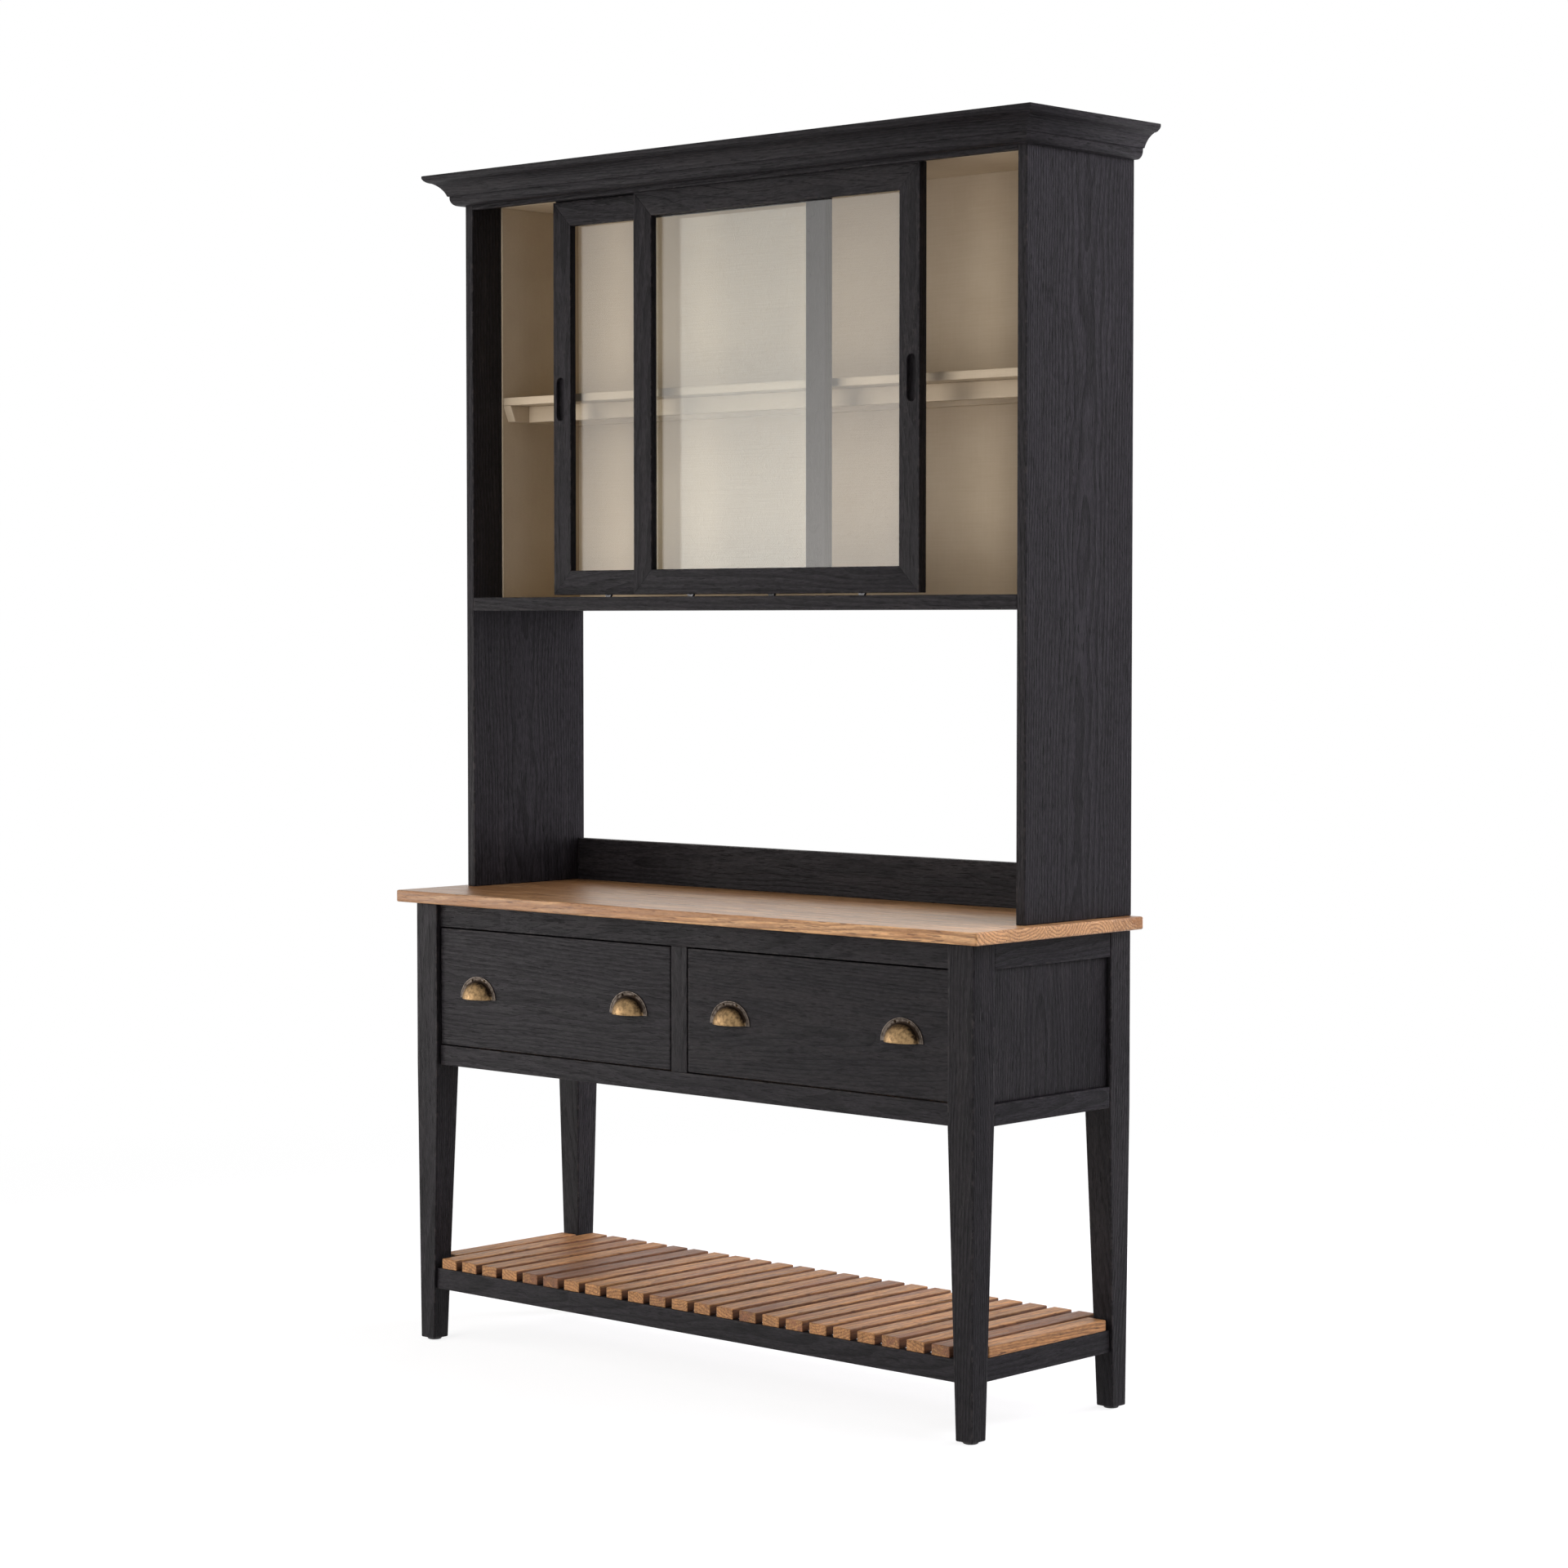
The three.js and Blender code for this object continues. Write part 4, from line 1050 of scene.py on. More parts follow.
class Workshop:
    """Makes the finishes and turns surfaces into pieces that ride on the frame's bodies."""

    def __init__(self) -> None:
        """Builds every finish once, in the order of the slots."""
        effects = Effects()
        finishes = (
            BLACK_WOOD, WORKTOP_WOOD, SLAT_WOOD, CREAM_PAINT, DRAWER_WOOD, ANTIQUE_BRASS, DOOR_GLASS,
            TRACK_ALUMINIUM, ROLLER_STEEL, GLIDE_PLASTIC,
        )
        self.materials = {
            slot: finish.build(effects) for slot, finish in zip(Slot, finishes, strict=True)
        }

    def piece(self, name: str, surface: Surface, slot: Slot, body: str, nodes: Sequence[str] = (),
              grain: Optional[Grain] = None, tone: Optional[float | Array] = None) -> Object:
        """Turns a surface into a finished piece.

        Args:
            name: the piece's name.
            surface: its surface, already in place.
            slot: the finish.
            body: the CAD body that it rides on.
            nodes: the CAD nodes that it stands for.
            grain: how the wood lies in it.
            tone: its lightness or tarnish, with any painted shade, one number or one per point.

        Returns:
            The new object.
        """
        mesh = bpy.data.meshes.new(name)
        mesh.from_pydata(surface.points.tolist(), [], surface.faces)
        count = len(surface.points)
        shade = seeded(name + "_tone").uniform(0, 1) if tone is None else tone
        self.store(mesh, "tone", "FLOAT", "value", np.full(count, shade))
        self.store(mesh, "edge", "FLOAT", "value", surface.edge)
        if grain:
            self.store(mesh, "grain", "FLOAT_VECTOR", "vector", grain.at(surface.points))
        mesh.shade_smooth()
        mesh.set_sharp_from_angle(angle=CRISP_ANGLE)
        mesh.materials.append(self.materials[slot])
        obj = linked(name, mesh)
        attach(obj, body)
        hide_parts(*nodes)
        LOG.info("%s: %d points on %s", name, count, body)
        return obj

    @staticmethod
    def store(mesh: Mesh, name: str, kind: str, field_name: str, values: Array) -> None:
        """Writes one number or vector per point into the mesh."""
        layer = mesh.attributes.new(name, kind, "POINT")
        layer.data.foreach_set(field_name, np.ascontiguousarray(values, np.float32).ravel())

    def board(self, board: Board, slot: Slot, body: str, nodes: Sequence[str] = (),
              tone: Optional[float] = None) -> Object:
        """Turns a board into a finished piece."""
        return self.piece(board.name, board.surface(), slot, body, nodes, board.grain(), tone)

    def node_board(self, node: str, along: Axis, through: Axis, slot: Slot, body: str,
                   **more: object) -> Object:
        """Makes the board that stands for one CAD node and fills its box."""
        return self.board(Board.of_node(node, along, through, **more), slot, body, [node])

    def keep(self, node: str, slot: Slot) -> None:
        """Leaves a CAD node in view and gives it its finish."""
        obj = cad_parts[node]
        obj.data.materials.clear()
        obj.data.materials.append(self.materials[slot])
        LOG.info("%s: CAD node in %s", node, slot.value)


@dataclass
class Base:
    """The table part: legs with glides, worktop, front frame, end frames, back and runners."""

    leg_top: float = 0.055
    leg_foot: float = 0.035
    leg_lean: float = 0.004
    taper_start: float = 0.520
    leg_easing: float = 0.0022
    worktop_easing: float = 0.0028
    stave_shares: Sequence[float] = (0.17, 0.23, 0.19, 0.22, 0.19)
    # Each stave's tone at its left and its right end: partly the staves' own tones, partly painted shade,
    # darker at the left end and on the staves behind the front one.
    stave_tones: Sequence[tuple[float, float]] = (
        (0.85, 0.25), (1.0, 0.45), (0.95, 0.5), (1.0, 0.5), (0.8, 0.75),
    )
    # Painted shade that darkens the worktop's front face.
    front_tone: float = 0.15
    stave_seam: float = 0.0003
    runner_thickness: float = 0.018
    runner_reach: float = 0.016
    glide_sides: int = 40
    glide_tip: float = 0.0004

    def leg_bend(self, side: Side, front: bool, corner: Array) -> Callable[[Array], Array]:
        """The taper of one leg.

        Formula: below the apron the two outer faces lean in and the two inner faces lean in more, in
        step with the fall from the apron to the floor.

        Args:
            side: left or right.
            front: whether it is a front leg.
            corner: the leg's outer corner line.

        Returns:
            A function that moves the points of the straight leg.
        """
        signs = np.array([side.value, -1 if front else 1])

        def tapered(points: Array) -> Array:
            """Moves each point towards the outer corner line by its share."""
            fall = np.clip((self.taper_start - points[..., 2:]) / self.taper_start, 0, 1)
            outer = self.leg_lean * fall
            inner = self.leg_top + (self.leg_foot + self.leg_lean - self.leg_top) * fall
            share = np.abs(points[..., :2] - corner) / self.leg_top
            moved = points.copy()
            moved[..., :2] = corner - signs * (outer + (inner - outer) * share)
            return moved

        return tapered

    def make_legs(self, shop: Workshop) -> None:
        """Makes the four tapered legs and their glides."""
        for side in Side:
            for end, front in (("front", True), ("back", False)):
                node = f"leg_{end}_{side.word}"
                low, high = corners_of(node)
                corner = np.array([(low if side is Side.LEFT else high)[0], (low if front else high)[1]])
                bend = self.leg_bend(side, front, corner)
                shop.node_board(
                    node, Axis.Z, Axis.Y, Slot.BLACK_WOOD, "carcass",
                    easing=self.leg_easing, extra=(self.taper_start,), bend=bend,
                )
                self.make_glide(shop, f"foot_glide_{end}_{side.word}")

    def make_glide(self, shop: Workshop, node: str) -> None:
        """Makes one turned glide with a rounded rim."""
        low, high = corners_of(node)
        radius = (high[0] - low[0]) / 2
        height = high[2] - low[2]
        tip = self.glide_tip
        outline = [
            (tip, 0), (radius * 0.82, 0), (radius * 0.94, height * 0.12), (radius, height * 0.4),
            (radius, height * 0.8), (radius * 0.98, height), (tip, height),
        ]
        centre = np.array([*((low + high) / 2)[:2], low[2]])
        surface = turned(outline, self.glide_sides, centre, Axis.Z)
        shop.piece(f"{node}_disc", surface, Slot.GLIDE_PLASTIC, "carcass", [node])

    def make_worktop(self, shop: Workshop) -> None:
        """Makes the worktop from staves glued edge to edge; only its outer arrises are rounded."""
        low, high = corners_of("worktop")
        cuts = low[1] + (high[1] - low[1]) * np.concatenate([[0], np.cumsum(self.stave_shares)])
        last = len(self.stave_shares) - 1
        for number, (front, back) in enumerate(zip(cuts[:-1], cuts[1:])):
            name = f"worktop_stave_{number + 1}"
            width, height = back - front, high[2] - low[2]
            at_front = self.stave_seam if number else self.worktop_easing
            at_back = self.stave_seam if number < last else self.worktop_easing
            easings = (at_front, at_back, at_back, at_front)
            profile = eased_outline(rectangle_corners(width, height), easings)
            seam = self.seam_points(profile, width, number > 0, number < last)
            upright = profile.outward * (0, 1)
            profile = Profile(
                profile.points,
                np.where(seam, upright, profile.outward),
                profile.arris * (profile.radius > self.stave_seam),
                np.where(seam, profile.points, profile.centre),
                profile.radius * ~seam[:, 0],
                profile.turn,
            )
            middle = np.array([0, (front + back) / 2, (low[2] + high[2]) / 2])
            stations = eased_stations(high[0] - low[0], self.worktop_easing, height)
            outlines = profile.drawn_in(stations.inset)
            rings = np.zeros((*outlines.shape[:2], 3))
            rings[..., 0] = low[0] + stations.along[:, None]
            rings[..., 1:] = middle[1:] + outlines
            surface = ring_loft(rings, wear_grid(stations, profile))
            grain = Grain.of_board(name, middle, Axis.X, Axis.Z)
            # Partly painted shade: the tone runs from each stave's left end to its right.
            tones = np.interp(surface.points[:, 0], (low[0], high[0]), self.stave_tones[number])
            # Painted shade: the front face is drawn darker than the top by this extra tone.
            tones += self.front_tone * (surface.points[:, 1] < low[1] + self.worktop_easing / 2)
            shop.piece(name, surface, Slot.WORKTOP_WOOD, "carcass", ["worktop"], grain, tones)

    def seam_points(self, profile: Profile, width: float, at_front: bool, at_back: bool) -> Array:
        """Marks the points of a stave's outline that lie on a glued seam.

        Args:
            profile: the stave's outline.
            width: its width.
            at_front: whether its front side is glued.
            at_back: whether its back side is glued.

        Returns:
            One column of truths.
        """
        near = width / 2 - 2 * self.stave_seam
        front = at_front & (profile.points[:, :1] < -near)
        back = at_back & (profile.points[:, :1] > near)
        return front | back

    def make_frames(self, shop: Workshop) -> None:
        """Makes the front rails, the divider, the end frames with their panels, and the back."""
        boards = [
            ("front_top_rail", Axis.X, Axis.Y),
            ("front_bottom_rail", Axis.X, Axis.Y),
            ("drawer_divider", Axis.Z, Axis.Y),
            ("base_back", Axis.X, Axis.Y),
        ]
        for side in Side:
            boards += [
                (f"end_top_rail_{side.word}", Axis.Y, Axis.X),
                (f"end_bottom_rail_{side.word}", Axis.Y, Axis.X),
                (f"end_panel_{side.word}", Axis.Z, Axis.X),
            ]
        for node, along, through in boards:
            shop.node_board(node, along, through, Slot.BLACK_WOOD, "carcass")

    def make_runners(self, shop: Workshop) -> None:
        """Makes each runner from a ledge under the drawer side and a guide beside it."""
        for place in ("left", "centre", "right"):
            node = f"drawer_runner_{place}"
            low, high = corners_of(node)
            ledge_high = high.copy()
            ledge_high[2] = low[2] + self.runner_thickness
            ledge = Board(f"{node}_ledge", low, ledge_high, Axis.Y, Axis.Z)
            shop.board(ledge, Slot.DRAWER_WOOD, "carcass", [node])
            guide_low = np.array([low[0], low[1], ledge_high[2]])
            guide_high = high.copy()
            if place != "left":
                guide_low[0] += self.runner_reach
            if place != "right":
                guide_high[0] -= self.runner_reach
            guide = Board(f"{node}_guide", guide_low, guide_high, Axis.Y, Axis.Z)
            shop.board(guide, Slot.DRAWER_WOOD, "carcass", [node])

    def make(self, shop: Workshop) -> None:
        """Makes the whole base."""
        self.make_legs(shop)
        self.make_worktop(shop)
        self.make_frames(shop)
        self.make_runners(shop)


@dataclass
class SlatShelf:
    """The low shelf: four rails between the legs and separate slats on two battens."""

    slat_width: float = 0.03875
    slat_space: float = 0.0155
    slat_thickness: float = 0.0187
    slat_count: int = 23
    batten_width: float = 0.030
    batten_inset: float = 0.080
    batten_depth: float = 0.0153
    batten_tone: float = 0.6
    end_slat_notch: float = 0.053
    front_leg_reach: float = 0.009
    back_leg_reach: float = 0.016
    leg_widening: float = 0.02
    leg_taper_height: float = 0.516
    easing: float = 0.0016
    # Painted shade on the slats' long sides: how far below the top it deepens, and its tone.
    side_depth: float = 0.006
    side_tone: float = 1.7
    cut_reach: float = 0.9
    cut_share: float = 0.8
    end_slat_tone: float = 0.2
    slat_tones: Sequence[float] = (
        0.25, 0.45, 0.55, 0.15, 0.9, 1.0, 0.35, 0.2, 0.4, 0.3, 0.7, 0.2,
        0.5, 0.35, 0.8, 0.25, 0.45, 0.1, 0.3, 0.2, 0.65, 0.25, 0.85,
    )

    def make_rails(self, shop: Workshop) -> None:
        """Makes the four rails, whose ends follow the tapered legs."""
        for node, along, through in (
            ("shelf_rail_front", Axis.X, Axis.Y),
            ("shelf_rail_back", Axis.X, Axis.Y),
            ("shelf_rail_left", Axis.Y, Axis.X),
            ("shelf_rail_right", Axis.Y, Axis.X),
        ):
            low, high = corners_of(node)
            bend = self.rail_bend(low, high, along)
            shop.node_board(node, along, through, Slot.BLACK_WOOD, "carcass", bend=bend)

    def rail_bend(self, low: Array, high: Array, along: Axis) -> Callable[[Array], Array]:
        """The slant of a rail's ends.

        Formula: the box's ends are the rail's lower ends, and the rail gets shorter towards its top in
        step with the height, by the amount that the legs widen over that height.

        Args:
            low: the rail's lowest corner.
            high: the rail's highest corner.
            along: the rail's direction.

        Returns:
            A function that moves the points of the straight rail.
        """
        middle = (low + high)[along.value] / 2
        half = (high - low)[along.value] / 2
        shorter = self.leg_widening * (high[2] - low[2]) / self.leg_taper_height

        def slanted(points: Array) -> Array:
            """Draws each point towards the rail's middle by its height."""
            moved = points.copy()
            rise = (points[..., 2] - low[2]) / (high[2] - low[2])
            offset = points[..., along.value] - middle
            moved[..., along.value] = middle + offset * (1 - rise * shorter / half)
            return moved

        return slanted

    def make_slat(self, shop: Workshop, slat: Board, tone: float, open_side: int = 0) -> None:
        """Makes one slat, with painted shade on its long sides, where the gaps between slats lie in shade,
        and pale where the saw cut it off.

        Formula: the tone runs from the slat's own to the painted shade's over the first millimetres under
        its top, except on the side with no neighbour, and the rings of points at its two ends take the
        end's tone.

        Args:
            shop: the workshop.
            slat: the board.
            tone: how dark it is.
            open_side: the direction in which it has no neighbour and its side gets no painted shade, or 0.
        """
        surface = slat.surface()
        # Painted shade: the long sides darken below the top, except on the side without a neighbour.
        depth = np.clip((slat.high[2] - surface.points[:, 2]) / self.side_depth, 0, 1)
        depth = depth * (open_side * (surface.points[:, 0] - slat.middle[0]) <= 0)
        tones = tone + (self.side_tone - tone) * depth
        reach = np.minimum(surface.points[:, 1] - slat.low[1], slat.high[1] - surface.points[:, 1])
        tones = np.where(reach < self.easing * self.cut_reach, tone * self.cut_share, tones)
        shop.piece(slat.name, surface, Slot.SLAT_WOOD, "carcass", ["slat_shelf"], slat.grain(), tones)

    def make_slats(self, shop: Workshop) -> None:
        """Makes the slats and the two battens, each its own board with its own tone."""
        low, high = corners_of("slat_shelf")
        pitch = self.slat_width + self.slat_space
        first = -(self.slat_count * pitch - self.slat_space) / 2
        bottom = high[2] - self.slat_thickness
        for number in range(self.slat_count):
            left = first + number * pitch
            right = left + self.slat_width
            slat = Board(
                f"slat_{number + 1}",
                np.array([left, low[1], bottom]), np.array([right, high[1], high[2]]),
                Axis.Y, Axis.Z, easing=self.easing,
            )
            self.make_slat(shop, slat, self.slat_tones[number])
        for side in Side:
            left, right = edges_at(side, low, high, self.slat_width)
            front = low[1] - self.front_leg_reach + self.end_slat_notch
            back = high[1] + self.back_leg_reach - self.end_slat_notch
            slat = Board(
                f"end_slat_{side.word}",
                np.array([left, front, bottom]), np.array([right, back, high[2]]),
                Axis.Y, Axis.Z, easing=self.easing,
            )
            self.make_slat(shop, slat, self.end_slat_tone, side.value)
        inner_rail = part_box("shelf_rail_right")[0][0] - GAP
        for end, front in (
            ("front", low[1] + self.batten_inset),
            ("back", high[1] - self.batten_inset - self.batten_width),
        ):
            board = Board(
                f"slat_batten_{end}",
                np.array([-inner_rail, front, low[2]]),
                np.array([inner_rail, front + self.batten_width, low[2] + self.batten_depth]),
                Axis.X, Axis.Z,
            )
            shop.board(board, Slot.SLAT_WOOD, "carcass", ["slat_shelf"], self.batten_tone)

    def make(self, shop: Workshop) -> None:
        """Makes the whole shelf."""
        self.make_rails(shop)
        self.make_slats(shop)


@dataclass
class CupPull:
    """A cup pull: a half-oval flange with a raised rim and a domed hood that is open below.

    Attributes:
        centre_x: the middle of the pull.
        back_y: the drawer front's face.
        base_z: the height of its open edge.
    """

    centre_x: float
    back_y: float
    base_z: float
    half_width: float = 0.0465
    height: float = 0.0408
    lift: float = 0.0046
    hood_half: float = 0.0355
    hood_height: float = 0.0312
    projection: float = 0.024
    metal: float = 0.0016
    flange_thickness: float = 0.002
    steps: int = 72
    hood_steps: int = 26
    hood_start: float = 0.95
    hood_end: float = 0.02
    # The darkening at the hood's foot, part tarnish and part painted shade of the crevice, and the rise
    # over which it fades; it fades out towards the oval's two ends.
    foot_tarnish: float = 1.25
    rubbed_rise: float = 0.5
    inner_tarnish: float = 0.9
    end_fade: float = 2.5
    screw_place: tuple[float, float] = (0.0155, 0.0335)
    screw_sink: float = 0.4
    screw_tip: float = 0.0001
    screw_radius: float = 0.0021
    screw_sides: int = 20
    screw_tone: float = 0.7
    lip_radius: float = 0.0011
    lip_sides: int = 10
    lip_start: float = 0.06

    def section(self) -> Array:
        """The pull's cross-section from the rim to the hood's tip and back on the inside.

        Formula: each point has a share of the hood's oval, a share of the way from there to the flange's
        outer oval, a depth in front of the drawer, its darkening and its greyness. The darkening is tarnish
        and, in the crevice between the flange and the hood, painted shade. On the hood, an angle p gives
        the share sin p and the depth cos p times the projection.

        Returns:
            One row of five numbers per point.
        """
        thick = self.flange_thickness
        # The fourth column is tarnish, and next to the hood it is also painted shade of the crevice.
        flange = np.array([
            (1, 1.000, 0.0000, 0.9, 1),
            (1, 1.000, 0.6 * thick, 0.5, 1),
            (1, 0.965, 0.95 * thick, 0.0, 1),
            (1, 0.910, thick, 0.0, 1),
            (1, 0.850, 0.92 * thick, 0.2, 1),
            (1, 0.790, 0.58 * thick, 0.45, 1),
            (1, 0.700, 0.42 * thick, 0.25, 1),
            (1, 0.420, 0.42 * thick, 0.4, 1),
            (1, 0.240, 0.45 * thick, 0.85, 0.9),
            (1, 0.080, 0.60 * thick, 1.0, 0.6),
        ])
        angle = np.linspace(math.pi / 2 * self.hood_start, self.hood_end, self.hood_steps)
        rise = np.cos(angle)
        # Tarnish with painted shade: the hood darkens towards its foot, into the crevice at the flange.
        tarnish = np.clip(self.foot_tarnish - rise / self.rubbed_rise, 0, 1)
        outside = np.stack([np.sin(angle), 0 * angle, rise * self.projection, tarnish, 0 * angle], axis=1)
        shrink = 1 - self.metal / self.hood_height
        inside = outside[::-1].copy()
        inside[:, 0] *= shrink
        inside[:, 2] *= 1 - self.metal / self.projection
        inside[:, 3] = self.inner_tarnish
        foot = np.array([(shrink, 0, 0, self.inner_tarnish, 0)])
        return np.concatenate([flange, outside, inside, foot])

    def surface(self) -> tuple[Surface, Array]:
        """The pull's surface.

        Formula: at the angle q round the half oval, a point of the section stands at the place
        (cos q, sin q) times its share between the hood's oval and the flange's oval.

        Returns:
            The surface and the darkening of each point: tarnish, with painted shade in the crevice.
        """
        section = self.section()
        hood = np.array([self.hood_half, self.hood_height])
        oval = np.array([self.half_width, self.height])
        angles = np.linspace(0, math.pi, self.steps)
        reach = section[:, :1] * hood + section[:, 1:2] * (oval - hood)
        rings = np.zeros((self.steps, len(section), 3))
        rings[..., 0] = self.centre_x + np.cos(angles)[:, None] * reach[:, 0]
        rings[..., 1] = self.back_y - section[:, 2]
        rings[..., 2] = self.base_z + np.sin(angles)[:, None] * reach[:, 1]
        # The darkening, painted shade included, fades out towards the oval's two ends.
        fade = np.clip(np.sin(angles) * self.end_fade, 0, 1)[:, None]
        tarnish = section[None, :, 3] * fade
        return ring_loft(rings, np.tile(section[:, 4], (self.steps, 1))), tarnish.ravel()

    def lip(self) -> Surface:
        """The rolled lower edge: a small circle carried round the hood's open half ellipse."""
        angles = np.linspace(self.lip_start, math.pi - self.lip_start, self.steps)
        spine = np.stack([
            self.centre_x + np.cos(angles) * (self.hood_half - self.metal / 2),
            self.back_y - np.sin(angles) * (self.projection - self.metal / 2),
            np.full(self.steps, self.base_z + self.lip_radius),
        ], axis=1)
        out = np.stack([np.cos(angles), -np.sin(angles), np.zeros(self.steps)], axis=1)
        turn = np.linspace(0, 2 * math.pi, self.lip_sides, endpoint=False)
        ring = np.cos(turn)[None, :, None] * out[:, None] + np.sin(turn)[None, :, None] * (0, 0, 1)
        rings = spine[:, None] + ring * self.lip_radius
        return ring_loft(rings)

    def screw(self, side: Side) -> Surface:
        """A small domed screw head with a sunk middle."""
        radius, tip = self.screw_radius, self.screw_tip
        outline = [
            (tip, 0), (radius, 0), (radius, 0.0005), (radius * 0.85, 0.001), (radius * 0.55, 0.0013),
            (radius * 0.42, 0.0013), (radius * 0.3, 0.0005), (tip, 0.0005),
        ]
        flipped = [(reach, -rise) for reach, rise in outline]
        across, up = self.screw_place
        face = self.back_y - self.screw_sink * self.flange_thickness
        centre = np.array([self.centre_x + side.value * across, face, self.base_z + up])
        return turned(flipped, self.screw_sides, centre, Axis.Y)

    def make(self, shop: Workshop, node: str, body: str) -> None:
        """Makes the pull and its two screws."""
        shell, tarnish = self.surface()
        lip = self.lip()
        tone = np.concatenate([tarnish, np.zeros(len(lip.points))])
        shop.piece(f"{node}_shell", shell.joined(lip), Slot.ANTIQUE_BRASS, body, [node], tone=tone)
        for side in Side:
            shop.piece(
                f"{node}_screw_{side.word}", self.screw(side), Slot.ANTIQUE_BRASS, body, [node],
                tone=self.screw_tone,
            )


@dataclass
class Drawer:
    """A drawer: its front, a glued box of three boards, a thin bottom and two cup pulls."""

    side: Side
    side_thickness: float = 0.012
    side_drop: float = 0.020
    easing: float = 0.0015
    bottom_easing: float = 0.0006

    def make(self, shop: Workshop) -> None:
        """Makes the drawer's boards and its two pulls."""
        word = self.side.word
        body = f"drawer_{word}"
        front = f"drawer_front_{word}"
        shop.node_board(front, Axis.X, Axis.Y, Slot.BLACK_WOOD, body, easing=self.easing)
        node = f"drawer_box_{word}"
        low, high = corners_of(node)
        thick = self.side_thickness
        left = Board(f"{node}_left", low, np.array([low[0] + thick, high[1], high[2]]), Axis.Y, Axis.X)
        right = Board(f"{node}_right", np.array([high[0] - thick, low[1], low[2]]), high, Axis.Y, Axis.X)
        back = Board(
            f"{node}_back",
            np.array([low[0] + thick, high[1] - thick, low[2]]),
            np.array([high[0] - thick, high[1], high[2] - self.side_drop]),
            Axis.X, Axis.Y,
        )
        for board in (left, right, back):
            shop.board(board, Slot.DRAWER_WOOD, body, [node])
        bottom = f"drawer_bottom_{word}"
        shop.node_board(bottom, Axis.X, Axis.Z, Slot.DRAWER_WOOD, body, easing=self.bottom_easing)
        for place in ("outer", "inner"):
            pull_node = f"cup_pull_{word}_{place}"
            pull_low, pull_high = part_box(pull_node)
            middle = (pull_low[0] + pull_high[0]) / 2
            pull = CupPull(middle, pull_high[1], pull_low[2] + CupPull.lift)
            pull.make(shop, pull_node, body)


